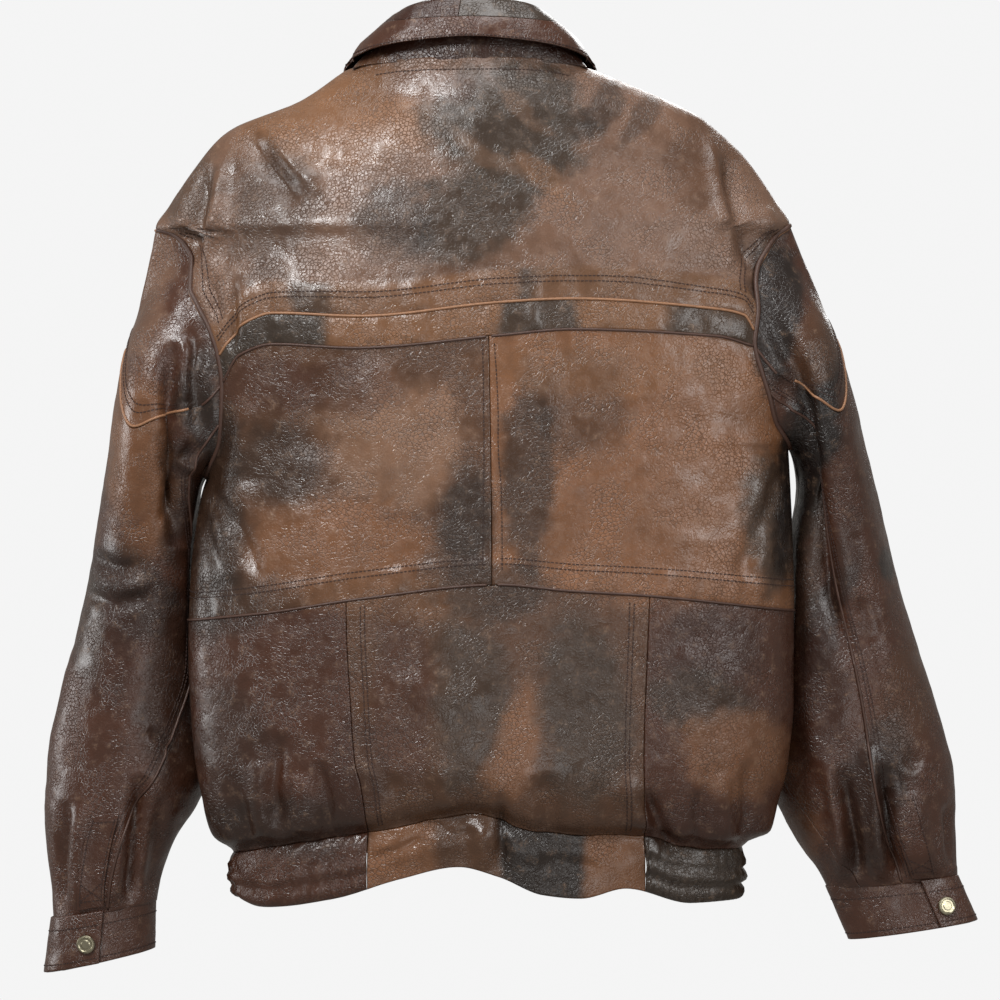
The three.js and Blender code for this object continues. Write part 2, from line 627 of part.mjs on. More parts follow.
function fallPoint(k, down) {
  const top = lifted(foldPoint(k), collarOutward(k), COLLAR.roll);
  const out = collarOutward(k).multiplyScalar(3 * Math.sin(Math.PI * down));
  const p = top.lerp(edgePoint(k), down).add(out);
  p.y = Math.abs(k) > 0.4 ? Math.max(p.y, frontY(p.x, p.z) + COLLAR.lay) : p.y;
  return p;
}

function collarPanel(name, ks, rows, pointAt) {
  const grid = rows.map((row) => ks.map((k) => pointAt(k, row)));
  const normals = rows.map(() => ks.map(collarOutward));
  const gaps = { low: SEAM, high: SEAM, start: SEAM, end: SEAM };
  add(name, wallGeometry(inset(grid, gaps), normals, COLLAR.thickness), finish.dark);
}

const upperDepth = smooth([[-2 / 6, 0.08], [-0.2, 0.4], [0, 0.5], [0.2, 0.4], [2 / 6, 0.08]]);
const allRound = [...spread(-1, COLLAR.split, 12), ...spread(COLLAR.split, 1, 12).slice(1)];
const upperSpan = (side) => allRound.filter((k) => Math.abs(k) < COLLAR.topEnd &&
  SIDES[side] * (k - COLLAR.split) > -1e-9);
collarPanel("collar_stand", allRound, [0, 0.5, 1], (k, t) => seamPoint(k).lerp(foldPoint(k), t));
collarPanel("collar_fall", allRound, [0, 0.5, 1], (k, t) => {
  const top = Math.abs(k) < COLLAR.topEnd ? upperDepth(k) : 0;
  return fallPoint(k, THREE.MathUtils.lerp(top, 1, t));
});
for (const side of Object.keys(SIDES)) {
  collarPanel(`collar_upper_${side}`, upperSpan(side), [0, 1], (k, t) => fallPoint(k, t * upperDepth(k)));
}

// The hanger: a shaped wooden bar, and a wire hook let into its crown.
function hangerBar() {
  const arm = [[28, -67], [45, -82], [62, -103], [76, -117], [88, -130], [102, -141], [137, -159],
    [167, -173], [190, -182]];
  const under = [[198, -206], [160, -196], [120, -174], [85, -150], [50, -118], [25, -101]];
  const outline = new THREE.Shape();
  outline.moveTo(0, HANGER.crownZ);
  outline.splineThru(arm.map(([x, z]) => new THREE.Vector2(x, z)));
  outline.quadraticCurveTo(203, -190, 198, -206);
  outline.splineThru(under.slice(1).map(([x, z]) => new THREE.Vector2(x, z)));
  const underLeft = under.map(([x, z]) => [-x, z]).reverse();
  outline.splineThru([[0, -96], ...underLeft].map(([x, z]) => new THREE.Vector2(x, z)));
  outline.quadraticCurveTo(-203, -190, -190, -182);
  outline.splineThru([...arm.slice(0, -1).map(([x, z]) => [-x, z]).reverse(), [0, HANGER.crownZ]]
    .map(([x, z]) => new THREE.Vector2(x, z)));
  const bevel = HANGER.bevel;
  const solid = new THREE.ExtrudeGeometry(outline, {
    depth: HANGER.thickness - 2 * bevel,
    bevelThickness: bevel,
    bevelSize: bevel,
    bevelOffset: -bevel,
    bevelSegments: 2,
    curveSegments: 3,
  });
  solid.translate(0, 0, -HANGER.thickness / 2 + bevel);
  solid.rotateX(Math.PI / 2);
  return solid;
}

function hookGeometry() {
  const r = HANGER.hookRadius;
  const centreZ = HANGER.wire / 2 - r;
  const turns = spread(200, -55, 17).map((degrees) => {
    const angle = THREE.MathUtils.degToRad(degrees);
    return new THREE.Vector3(r * Math.cos(angle), 0, centreZ + r * Math.sin(angle));
  });
  const stem = [new THREE.Vector3(2, 0, -38), new THREE.Vector3(0, 0, -46), new THREE.Vector3(0, 0, -59)];
  const path = new THREE.CatmullRomCurve3([...turns, ...stem]);
  const ring = new THREE.Shape().absarc(0, 0, HANGER.wire / 2, 0, 2 * Math.PI);
  return new THREE.ExtrudeGeometry(ring, { steps: 50, extrudePath: path, curveSegments: 5 });
}

const bar = add("hanger_bar", hangerBar(), finish.wood);
bar.rotation.y = THREE.MathUtils.degToRad(-HANGER.tilt);
add("hanger_hook", hookGeometry(), finish.metal);

export default group;
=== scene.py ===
"""A worn patchwork leather blouson on a wooden hanger, seen from behind."""
import math

import bpy
import numpy as np
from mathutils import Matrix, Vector


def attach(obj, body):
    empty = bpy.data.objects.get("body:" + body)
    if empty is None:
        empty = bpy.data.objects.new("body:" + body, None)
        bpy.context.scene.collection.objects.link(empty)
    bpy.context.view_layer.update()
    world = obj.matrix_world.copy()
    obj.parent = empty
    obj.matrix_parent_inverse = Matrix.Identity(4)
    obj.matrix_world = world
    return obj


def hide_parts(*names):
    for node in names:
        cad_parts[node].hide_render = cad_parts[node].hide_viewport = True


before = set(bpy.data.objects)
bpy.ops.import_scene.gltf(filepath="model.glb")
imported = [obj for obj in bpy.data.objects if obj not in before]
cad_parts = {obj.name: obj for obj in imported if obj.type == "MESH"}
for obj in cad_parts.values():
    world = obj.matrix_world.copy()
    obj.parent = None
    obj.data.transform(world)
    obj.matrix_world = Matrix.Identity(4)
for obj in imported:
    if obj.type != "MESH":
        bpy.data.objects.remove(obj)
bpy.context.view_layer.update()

# Driving sizes, in millimetres as in the part. Meshes are scaled to metres when they are made.
MM = 0.001
LEATHER = 1.8
SEAM = 0.15
ARMHOLE_REACH = 0.16
BACK, FRONT = -1, 1
SIDES = {"left": -1, "right": 1}
ZIP_HALF = 6
NECK = {"x": 2.5, "half_width": 97, "side_z": -127, "drop": 79}
BODY = "jacket"


# --- smooth curves and noise

def slopes_of(knots, values):
    steps = np.diff(knots).reshape(-1, *([1] * (values.ndim - 1)))
    rises = np.diff(values, axis=0) / steps
    before = np.concatenate([rises[:1], rises])
    after = np.concatenate([rises, rises[-1:]])
    total = np.where(before + after == 0, 1, before + after)
    return np.where(before * after > 0, 2 * before * after / total, 0)


def through(knots, values, where):
    """Smooth values at `where`. A table with one column for each place gives each its own curve."""
    slopes = slopes_of(knots, values)
    where = np.clip(where, knots[0], knots[-1])
    i = np.clip(np.searchsorted(knots, where, side="right") - 1, 0, len(knots) - 2)
    columns = np.arange(len(where))
    pick = (lambda table, k: table[k]) if values.ndim == 1 else (lambda table, k: table[k, columns])
    h = knots[i + 1] - knots[i]
    t = (where - knots[i]) / h
    rest = 1 - t
    ends = (1 + 2 * t) * rest * rest * pick(values, i) + t * t * (3 - 2 * t) * pick(values, i + 1)
    return ends + h * t * rest * (rest * pick(slopes, i) - t * pick(slopes, i + 1))


def smooth(*keys):
    knots = np.array([k for k, _ in keys], float)
    values = np.array([v for _, v in keys], float)

    def curve(where):
        where = np.asarray(where, float)
        return through(knots, values, where.ravel()).reshape(where.shape)

    return curve


def noise(x, y, size, seed):
    """Smooth random heights from -1 to 1, about `size` from bump to bump."""
    u, v = np.asarray(x) / size, np.asarray(y) / size
    i, j = np.floor(u).astype(int), np.floor(v).astype(int)
    a, b = u - i, v - j
    a, b = a * a * (3 - 2 * a), b * b * (3 - 2 * b)

    def corner(di, dj):
        h = (i + di) * 374761393 + (j + dj) * 668265263 + seed * 974711
        h = (h ^ (h >> 13)) * 1274126177 & 0x7FFFFFFF
        return (h ^ (h >> 16)) % 65536 / 32768 - 1

    low = corner(0, 0) * (1 - a) + corner(1, 0) * a
    high = corner(0, 1) * (1 - a) + corner(1, 1) * a
    return low * (1 - b) + high * b


def ramp(value, low, high):
    t = np.clip((value - low) / (high - low), 0, 1)
    return t * t * (3 - 2 * t)


def lerp(a, b, t):
    return a + (b - a) * t


# --- the garment's form

edge = {
    "left": smooth((-812, -187), (-775, -199), (-754, -211), (-729, -218), (-704, -222), (-656, -227),
                   (-603, -229), (-541, -227), (-480, -219), (-462, -214), (-430, -201), (-386, -199),
                   (-362, -202.5), (-342, -209), (-320, -220), (-307, -225.5), (-284, -225), (-271, -231),
                   (-262, -242), (-257, -256), (-239, -245), (-200, -218), (-182, -202.5), (-174, -191),
                   (-152, -137), (-127, -100)),
    "right": smooth((-812, 221), (-777, 230), (-762, 240), (-752, 250), (-729, 256), (-691, 264),
                    (-645, 268), (-562, 268), (-438, 264), (-417, 252), (-395, 246), (-375, 239.5),
                    (-353, 234), (-324, 237), (-303, 235.5), (-291, 237), (-276, 244.5), (-263, 253.5),
                    (-253.5, 265), (-237, 255), (-199, 228), (-172, 200), (-165, 191), (-127, 105)),
}
centre_x = smooth((-812, 17), (-770, 20), (-560, 20.5), (-350, 18), (-205, 2.5), (-120, 2.5))
depth = {
    BACK: smooth((-815, 66), (-775, 71), (-745, 82), (-690, 95), (-600, 94), (-450, 90), (-350, 86),
                 (-257, 80), (-200, 74), (-150, 62), (-120, 50)),
    FRONT: smooth((-815, 64), (-775, 69), (-745, 80), (-690, 91), (-600, 90), (-450, 86), (-350, 82),
                  (-257, 74), (-200, 66), (-150, 58), (-120, 50)),
}
squareness = smooth(
    (-780, 2.4), (-500, 2.3), (-350, 2.1), (-260, 1.7), (-210, 1.5), (-160, 1.5), (-120, 1.9),
)
TIP = {"left": -257, "right": -253.5}
PIT = {"left": -462, "right": -438}


def reach(side, z):
    along = (z - PIT[side]) / (TIP[side] - PIT[side])
    inside = (along > 0) & (along < 1)
    return 1 + np.where(inside, ARMHOLE_REACH * np.sin(np.pi * np.clip(along, 0, 1)), 0)


def middle(z):
    return (edge["left"](z) + edge["right"](z)) / 2


def half_width(on_left, z):
    half = (edge["right"](z) - edge["left"](z)) / 2
    return half * np.where(on_left, reach("left", z), reach("right", z))


def turn_of(x, z):
    """Angle round the body at height z: 90 degrees each way are the widest points."""
    u = np.clip((x - middle(z)) / half_width(x < middle(z), z), -1, 1)
    return np.sign(u) * np.arcsin(np.abs(u) ** (squareness(z) / 2))


def wall_at(turn, z, face):
    power = 2 / squareness(z)
    x = middle(z) + half_width(turn < 0, z) * np.sign(turn) * np.abs(np.sin(turn)) ** power
    y = face * depth[face](z) * np.maximum(np.cos(turn), 0) ** power
    return np.stack([x, y, z + 0 * x], axis=-1)


def insideness(p, face):
    x, y, z = p[..., 0], p[..., 1], p[..., 2]
    n = squareness(z)
    across = np.abs(x - middle(z)) / half_width(x < middle(z), z)
    return across ** n + (np.abs(y) / depth[face](z)) ** n


def wall_normal(p, face):
    step = 0.5
    normal = np.zeros_like(p)
    for axis in range(3):
        shift = np.zeros(3)
        shift[axis] = step
        normal[..., axis] = insideness(p + shift, face) - insideness(p - shift, face)
    normal[..., 1] = np.where(np.abs(p[..., 1]) < step, 0, normal[..., 1])
    return normal / np.linalg.norm(normal, axis=-1, keepdims=True)


LEVEL_LINES = [
    smooth((-189, -805), (-167, -812), (-109, -804), (-54, -787), (-7, -777), (26, -785), (62, -800),
    (93, -803), (129, -795), (183, -808), (222, -807)),
    smooth((-199, -773), (-144, -763), (-83, -753), (-30, -742), (8, -737), (50, -750), (97, -755), (147,
    -756), (171, -765), (232, -770)),
    smooth((-229, -579), (-160, -571.5), (-85, -560), (27, -548.5), (82, -553.5), (146, -557.6), (268,
    -571)), smooth((-214, -462), (264, -438)),
    smooth((-199, -386), (-184, -362), (-157, -353.5), (-90, -357), (27, -347), (86, -342), (203, -347),
    (234, -355)),
    smooth((-202, -364), (-184, -340), (-157, -329), (-85, -332), (27, -321), (86, -318), (203, -325.5),
    (225, -330), (235, -345)), smooth((-256, -257), (265, -253.5)),
    smooth((-100, -127), (-50, -120.5), (0, -119.5), (50, -120), (105, -127)),
]
HEM, WAIST, LOW, PIT_LEVEL, BAND_LOW, BAND_TOP, TIP_LEVEL, NECK_LEVEL = range(8)
low_seam = {
    "left": smooth((-812, -81), (-752, -81), (-711, -85), (-691, -90), (-654, -93), (-564, -97), (-127,
    -50)), "right": smooth((-812, 145), (-755, 145), (-692, 143), (-601, 146), (-558, 147.5), (-127, 55)),
}


def blend(stack, position):
    i = np.minimum(np.floor(position).astype(int), len(stack) - 2)
    low = np.take_along_axis(stack, i[None], 0)[0]
    high = np.take_along_axis(stack, i[None] + 1, 0)[0]
    return lerp(low, high, position - i)


def back_turn(column, z):
    lines = [edge["left"](z), low_seam["left"](z), centre_x(z), low_seam["right"](z), edge["right"](z)]
    return blend(np.stack([turn_of(x, z) for x in lines]), column)


def back_point(column, level):
    z = np.full(column.shape, -400.0)
    for _ in range(30):
        x = wall_at(back_turn(column, z), z, BACK)[..., 0]
        z = blend(np.stack([line(x) for line in LEVEL_LINES]), level)
    return wall_at(back_turn(column, z), z, BACK)


SIDE_LEVELS = np.linspace(HEM, NECK_LEVEL, 701)
side_heights = {
    side: back_point(np.full(SIDE_LEVELS.shape, column), SIDE_LEVELS)[:, 2]
    for side, column in {"left": 0.0, "right": 4.0}.items()
}


FRONT_RISE = 30


def front_height(side, level, column):
    """The front meets the back's heights at the side edges. Its waist and hem rise toward the zip."""
    rise = FRONT_RISE * ramp(column, 0, 0.7) * ramp(PIT_LEVEL - level, 0, PIT_LEVEL - WAIST)
    return np.interp(level, SIDE_LEVELS, side_heights[side]) + rise


def front_inner(side, z):
    up = (NECK["side_z"] - z) / NECK["drop"]
    sweep = np.where(up < 1, NECK["half_width"] * np.sqrt(1 - np.clip(up, 0, 1) ** 2), 0)
    return centre_x(z) + SIDES[side] * np.maximum(ZIP_HALF, sweep)


def front_point(side, column, level):
    z = front_height(side, level, column)
    turns = np.stack([turn_of(edge[side](z), z), turn_of(front_inner(side, z), z)])
    return wall_at(blend(turns, column), z, FRONT)


# --- sleeves and cuffs

STATIONS = {
    "left": [
        (0.14, -274, -339, -219, -472, 62, 8), (0.24, -288.5, -395, -221, -492, 64, 18),
        (0.39, -303.4, -480, -219, -524, 62, 34), (0.53, -318.2, -562, -219, -580, 60, 46),
        (0.685, -337.8, -649, -219, -655, 58, 50), (0.785, -349.3, -706, -213, -702, 56, 50),
        (0.843, -351, -740, -224, -731, 52, 48), (0.909, -348.5, -777, -243, -762, 46, 46),
        (0.957, -345, -806, -255.5, -797, 40, 44), (1, -343.6, -829, -258, -813, 35, 44)],
    "right": [
        (0.14, 297, -332, 267, -448, 60, 8), (0.24, 314, -384, 270, -474, 62, 18),
        (0.39, 332, -449, 267, -510, 62, 34), (0.53, 360.8, -562, 260, -580, 60, 46),
        (0.685, 389, -651, 257, -665, 58, 50), (0.785, 405, -712, 252, -716, 55, 50),
        (0.843, 406, -742, 263, -745, 50, 48), (0.909, 406, -768, 279, -771, 42, 46),
        (0.957, 406, -782, 291, -786, 33, 44), (1, 407, -794, 299.5, -803, 24, 44)],
}
CLEAR_OF_BODY = 3
armhole_level = smooth((0, TIP_LEVEL), (95, BAND_TOP), (115, BAND_LOW), (180, PIT_LEVEL))


def armhole_at(side, degrees):
    level = armhole_level(np.where(degrees <= 180, degrees, 360 - degrees))
    back = back_point(np.full(level.shape, 0.0 if side == "left" else 4.0), level)
    front = front_point(side, np.zeros(level.shape), level)
    return np.where((degrees <= 180)[..., None], back, front)


RING = np.linspace(0, 360, 1441)
armhole_ring = {side: armhole_at(side, RING) for side in SIDES}


def armhole_point(side, degrees):
    """Point of the armhole: 0 is the shoulder tip, 90 the back, 180 the armpit, 270 the front."""
    return np.stack([np.interp(degrees % 360, RING, armhole_ring[side][:, k]) for k in range(3)], axis=-1)


def kept_clear(p):
    x, y, z = p[..., 0], p[..., 1], p[..., 2]
    n = squareness(z)
    half = half_width(x < middle(z), z) + CLEAR_OF_BODY
    thick = np.where(y > 0, depth[FRONT](z), depth[BACK](z)) + CLEAR_OF_BODY
    outward = np.minimum(np.abs(y) / thick, 1)
    limit = half * (1 - outward ** n) ** (1 / n)
    offset = np.maximum(np.abs(x - middle(z)), limit)
    moved = np.stack([middle(z) + np.sign(x - middle(z)) * offset, y, z], axis=-1)
    free = (z > PIT["right"] - 12) | (z < -800)
    return np.where(free[..., None], p, moved)


def sleeve_point(side, degrees, along):
    shape = degrees.shape
    degrees, along = degrees.ravel(), along.ravel()
    lean = (1 + np.cos(np.radians(degrees))) / 2
    knots = np.array([0] + [s[0] for s in STATIONS[side]])
    rows = [armhole_point(side, degrees)]
    for _, out_x, out_z, in_x, in_z, half, y in STATIONS[side]:
        rows.append(np.stack([lerp(in_x, out_x, lean), y - half * np.sin(np.radians(degrees)),
                              lerp(in_z, out_z, lean)], axis=-1))
    table = np.stack(rows)
    p = np.stack([through(knots, table[..., k], along) for k in range(3)], axis=-1)
    p = np.where((along < 0.03)[:, None], p, kept_clear(p))
    return p.reshape(*shape, 3)


def unit(vectors):
    return vectors / np.maximum(np.linalg.norm(vectors, axis=-1, keepdims=True), 1e-9)


def sleeve_normal(side, degrees, along):
    late = np.minimum(along + 0.01, 1)
    across = sleeve_point(side, degrees + 2, along) - sleeve_point(side, degrees - 2, along)
    down = sleeve_point(side, degrees, late) - sleeve_point(side, degrees, np.maximum(along - 0.01, 0))
    own = unit(np.cross(across, down) * SIDES[side])
    start = armhole_point(side, degrees)
    face = np.where(start[..., 1:2] > 0, wall_normal(start, FRONT), wall_normal(start, BACK))
    share = ramp(along, 0, 0.04)[..., None]
    return unit(lerp(face, own, share))


cap_edge = smooth((-115, 0.052), (-90, 0.16), (-60, 0.24), (0, 0.17), (60, 0.24), (90, 0.16), (115, 0.052))
CAP_END = 115
REAR_START = 136.7
rear_seam = {
    "left": smooth((0, 136.7), (0.4, 150), (0.6, 150), (0.74, 124), (0.85, 103), (1, 96)),
    "right": smooth((0, 136.7), (0.3, 120), (0.6, 90), (1, 84)),
}
under_seam = {
    "left": smooth((0, 223.3), (1, 200)),
    "right": smooth((0, 180), (0.7, 168), (0.85, 135), (1, 122)),
}

CUFFS = {
    "left": {"top": (-344.5, -832, -258.5, -816, 35), "low": (-350, -872, -259.5, -852, 34), "end": 92,
    "snap": 77},
    "right": {"top": (408, -796.5, 299.5, -806, 24), "low": (422, -829, 316, -845, 25), "end": 66,
    "snap": 52},
}
CUFF = {"y": 44, "overlap": 44, "lift": 3, "thickness": 2.2}


def cuff_point(side, degrees, along):
    values = [lerp(a, b, along) for a, b in zip(CUFFS[side]["top"], CUFFS[side]["low"])]
    out_x, out_z, in_x, in_z, half = values
    lean = (1 + np.cos(np.radians(degrees))) / 2
    y = CUFF["y"] - half * np.sin(np.radians(degrees))
    return np.stack([lerp(in_x, out_x, lean), y, lerp(in_z, out_z, lean)], axis=-1)


def cuff_normal(side, degrees):
    mid = np.full(degrees.shape, 0.5)
    across = cuff_point(side, degrees + 2, mid) - cuff_point(side, degrees - 2, mid)
    down = cuff_point(side, degrees, mid + 0.5) - cuff_point(side, degrees, mid - 0.5)
    return unit(np.cross(across, down) * SIDES[side])


def cuff_outer(side, degrees, along):
    lift = CUFF["lift"] * ramp(degrees, -50, 30)
    return cuff_point(side, degrees, along) + cuff_normal(side, degrees) * lift[..., None]


# --- collar

COLLAR_KEYS = [0, 1 / 6, 2 / 6, 3 / 6, 4 / 6, 5 / 6, 1]
COLLAR = {"x": 4, "lay": 7.5, "roll": 3.4, "split": -0.035, "top_end": 0.36, "thickness": 2, "over": 0.14}


def mirrored(values, sign):
    left = [(-k, sign * v) for k, v in zip(COLLAR_KEYS[:0:-1], values[:0:-1])]
    return smooth(*left, *zip(COLLAR_KEYS, values))


collar_lines = {
    "seam": (mirrored([0, 48, 82, 94.5, 82, 50, 12], -1), mirrored([-118, -118.7, -121, -125.6, -156,
    -186, -201], 1)),
    "fold": (mirrored([0, 40, 68, 82, 76, 48, 16], -1), mirrored([-72.5, -76, -91, -110, -138, -164,
    -178], 1)),
    "edge": (mirrored([0, 52, 88, 104, 106, 92, 62], -1), mirrored([-104, -108, -115, -124.5, -165, -214,
    -240], 1)),
}
fold_y = mirrored([-42, -39, -24, 3, 28, 46, 56], 1)
edge_back_y = mirrored([-61, -56, -36, 0, 0, 0, 0], 1)
upper_depth = smooth((-2 / 6, 0.08), (-0.2, 0.4), (0, 0.5), (0.2, 0.4), (2 / 6, 0.08))


def front_y(x, z):
    return wall_at(turn_of(x, z), z, FRONT)[..., 1]


def collar_seam(k):
    x = NECK["x"] + collar_lines["seam"][0](k)
    z = collar_lines["seam"][1](k)
    turn = turn_of(x, z)
    y = np.where(np.abs(k) > 0.5, wall_at(turn, z, FRONT)[..., 1], wall_at(turn, z, BACK)[..., 1])
    return np.stack([x, y, z], axis=-1)


def collar_fold(k):
    x = COLLAR["x"] + collar_lines["fold"][0](k)
    return np.stack([x, fold_y(k), collar_lines["fold"][1](k)], axis=-1)


def collar_edge(k):
    x = NECK["x"] + collar_lines["edge"][0](k)
    z = collar_lines["edge"][1](k)
    y = np.where(np.abs(k) < 0.5, edge_back_y(k), front_y(x, z) + COLLAR["lay"])
    return np.stack([x, y, z], axis=-1)


def collar_outward(k):
    along = collar_fold(np.maximum(k - 0.02, -1)) - collar_fold(np.minimum(k + 0.02, 1))
    return unit(np.cross(along, collar_seam(k) - collar_fold(k)))


def fall_surface(k, down):
    """The fall from the fold to its edge. Below 0 it rolls over the top of the stand."""
    out = collar_outward(k)
    up = unit(collar_fold(k) - collar_seam(k))
    half_roll = (COLLAR["roll"] + COLLAR["thickness"]) / 2
    angle = np.pi * np.clip((down + COLLAR["over"]) / COLLAR["over"], 0, 1)[..., None]
    inner = collar_fold(k) - out * COLLAR["thickness"]
    top = inner + out * half_roll * (1 - np.cos(angle)) + up * half_roll * np.sin(angle)
    low = np.clip(down, 0, 1)[..., None]
    p = lerp(top, collar_edge(k), low) + out * 3 * np.sin(np.pi * low)
    in_front = (np.abs(k) > 0.4) & (down > 0.2)
    lying = np.maximum(p[..., 1], front_y(p[..., 0], p[..., 2]) + COLLAR["lay"])
    p[..., 1] = np.where(in_front, lying, p[..., 1])
    normal = unit(out * -np.cos(angle) + up * np.sin(angle))
    return p, unit(lerp(normal, out, low))


# --- folds and wrinkles

def crease(x, z, points, width, height):
    """A soft trough (negative) or ridge along a line of points, fading out at both ends."""
    points = np.array(points, float)
    steps = np.linalg.norm(np.diff(points, axis=0), axis=1)
    total, passed = steps.sum(), 0
    nearest = np.full(x.shape, 1e9)
    place = np.zeros(x.shape)
    for (x0, z0), (x1, z1), step in zip(points[:-1], points[1:], steps):
        t = np.clip(((x - x0) * (x1 - x0) + (z - z0) * (z1 - z0)) / step ** 2, 0, 1)
        gap = np.hypot(x - x0 - t * (x1 - x0), z - z0 - t * (z1 - z0))
        closer = gap < nearest
        place = np.where(closer, (passed + t * step) / total, place)
        nearest = np.where(closer, gap, nearest)
        passed += step
    fade = np.clip(4 * np.minimum(place, 1 - place), 0, 1) ** 0.7
    return height * np.exp(-(nearest / width) ** 2) * fade


SHOULDER_FOLDS = [
    ([(-212, -205), (-218, -240), (-225, -290)], 7, -8),
    ([(-200, -195), (-205, -235), (-213, -295)], 7, 5), ([(-232, -225), (-236, -262)], 8, 3),
    ([(-207, -300), (-203, -335)], 6, -4), ([(-182, -180), (-160, -208), (-136, -240)], 7, -5),
    ([(-166, -180), (-146, -203), (-118, -232)], 9, 4.5),
    ([(-190, -300), (-189, -330), (-190, -360)], 4, -4.5), ([(-180, -300), (-178, -352)], 8, 2.5),
    ([(199, -180), (205, -229), (218, -290)], 6, 4), ([(210, -200), (220, -245), (229, -290)], 7, -4.5),
    ([(226, -262), (234, -290), (238, -320)], 6, -6), ([(243, -238), (252, -262)], 8, 2.5),
]
BODY_FOLDS = [
    ([(-212, -468), (-185, -500), (-165, -545)], 7, -4), ([(-217, -490), (-200, -540)], 6, -3),
    ([(-178, -400), (-188, -470), (-200, -545)], 13, 4),
    ([(-72, -365), (-75, -420), (-64, -480)], 15, 2.4), ([(-120, -372), (-128, -450)], 14, -2),
    ([(258, -450), (236, -500), (222, -545)], 7, -3.5), ([(240, -440), (236, -500), (238, -560)], 12, 4),
    ([(60, -360), (66, -450)], 16, 2), ([(100, -470), (96, -545)], 16, -1.6),
    ([(-150, -668), (-158, -715), (-150, -755)], 7, -5),
    ([(-120, -690), (-112, -725), (-114, -752)], 6, -4),
    ([(-190, -700), (-180, -745), (-178, -768)], 6, -4), ([(-136, -700), (-133, -752)], 8, 4),
    ([(-168, -690), (-166, -758)], 8, 4), ([(144, -715), (156, -742), (171, -768)], 6, -7),
    ([(128, -700), (138, -735), (146, -752)], 8, 4), ([(185, -715), (190, -745), (188, -764)], 6, -4),
    ([(205, -700), (210, -735), (209, -764)], 7, 4), ([(228, -690), (229, -735), (224, -768)], 6, -4),
    ([(-60, -700), (-52, -748)], 8, -3), ([(-20, -690), (-16, -735)], 9, 3),
    ([(60, -700), (66, -748)], 8, -3.5), ([(95, -690), (98, -750)], 9, 3),
    ([(28, -715), (29, -745), (27, -783)], 5, -5), ([(12, -742), (14, -778)], 7, 3),
    ([(-80, -772), (-54, -762), (-28, -753)], 4, -3), ([(-40, -742), (-10, -752), (14, -750)], 4, -3),
    ([(60, -770), (110, -778)], 6, -2), ([(-60, -620), (-20, -640), (30, -636)], 12, 2),
    ([(170, -600), (215, -640)], 10, 2),
]
SLEEVE_FOLDS = {
    "left": [
        ([(-238, -352), (-243, -400), (-242, -455), (-236, -520)], 8, -11),
        ([(-262, -330), (-272, -400), (-280, -520)], 14, 4),
        ([(-214, -330), (-222, -380), (-214, -430)], 8, -6), ([(-228, -345), (-230, -400)], 6, 4),
        ([(-222, -430), (-236, -470), (-250, -500)], 5, -5), ([(-215, -450), (-232, -455)], 5, 4),
        ([(-312, -526), (-288, -536), (-262, -534)], 6, -3.5),
        ([(-318, -556), (-290, -566), (-256, -558)], 6, -3),
        ([(-308, -545), (-282, -552), (-258, -548)], 7, 3),
        ([(-262, -668), (-248, -682), (-232, -694)], 4, -3.5),
        ([(-268, -706), (-273, -760), (-279, -824)], 6, -9),
        ([(-330, -728), (-336, -780), (-336, -826)], 5, -6),
        ([(-250, -722), (-256, -770), (-263, -815)], 6, -4),
        ([(-318, -730), (-322, -780), (-320, -826)], 8, 4),
        ([(-282, -735), (-288, -780), (-292, -822)], 7, 3),
        ([(-330, -600), (-338, -650), (-343, -700)], 10, 2.5),
    ],
    "right": [
        ([(240, -325), (255, -350), (266, -370), (272, -410), (277, -440), (284, -500), (294, -562),
        (316, -615)], 10, -13), ([(292, -330), (312, -440), (336, -570), (352, -650)], 14, 4),
        ([(252, -380), (262, -410)], 6, -4), ([(270, -600), (286, -680), (300, -720)], 12, 3),
        ([(341, -700), (347, -760), (360, -800)], 6, -10),
        ([(329, -680), (337, -740), (342, -798)], 6, 6), ([(307, -700), (316, -750), (324, -798)], 6, -8),
        ([(296, -690), (304, -740), (312, -798)], 6, 4), ([(366, -720), (380, -790)], 9, 3),
        ([(398, -730), (402, -785)], 5, -5), ([(320, -560), (330, -600)], 8, -3),
        ([(360, -690), (372, -700)], 6, -2),
    ],
}
FRONT_FOLDS = [
    ([(-190, -215), (-170, -300), (-160, -380)], 14, -4),
    ([(200, -205), (185, -300), (175, -380)], 14, -4), ([(-200, -470), (-150, -520)], 9, -4),
    ([(245, -450), (190, -510)], 9, -4), ([(-120, -240), (-90, -420)], 18, 3),
    ([(140, -240), (110, -420)], 18, 3), ([(-90, -560), (-60, -700)], 16, -3),
    ([(120, -560), (100, -700)], 16, -3), ([(-150, -690), (-146, -764)], 7, -5),
    ([(-110, -700), (-106, -764)], 7, 4), ([(-60, -710), (-58, -764)], 7, -4),
    ([(90, -705), (92, -764)], 7, -4), ([(150, -695), (150, -764)], 7, 4),
    ([(200, -690), (196, -766)], 7, -5), ([(-262, -350), (-282, -520)], 12, -5),
    ([(300, -350), (330, -560)], 12, -5), ([(-320, -720), (-320, -826)], 6, -5),
    ([(-285, -720), (-290, -822)], 6, -5), ([(360, -710), (366, -796)], 6, -5),
    ([(390, -710), (392, -792)], 6, 4), ([(-300, -530), (-262, -560)], 7, -4),
    ([(330, -540), (296, -566)], 7, -4),
]
STRIPS = [(BAND_TOP, 0, 27), (BAND_TOP, -24, 0), (LOW, 0, 24)]
PINCH = {"depth": 9, "reach": 10}


FOLD_SCALE = 1.3
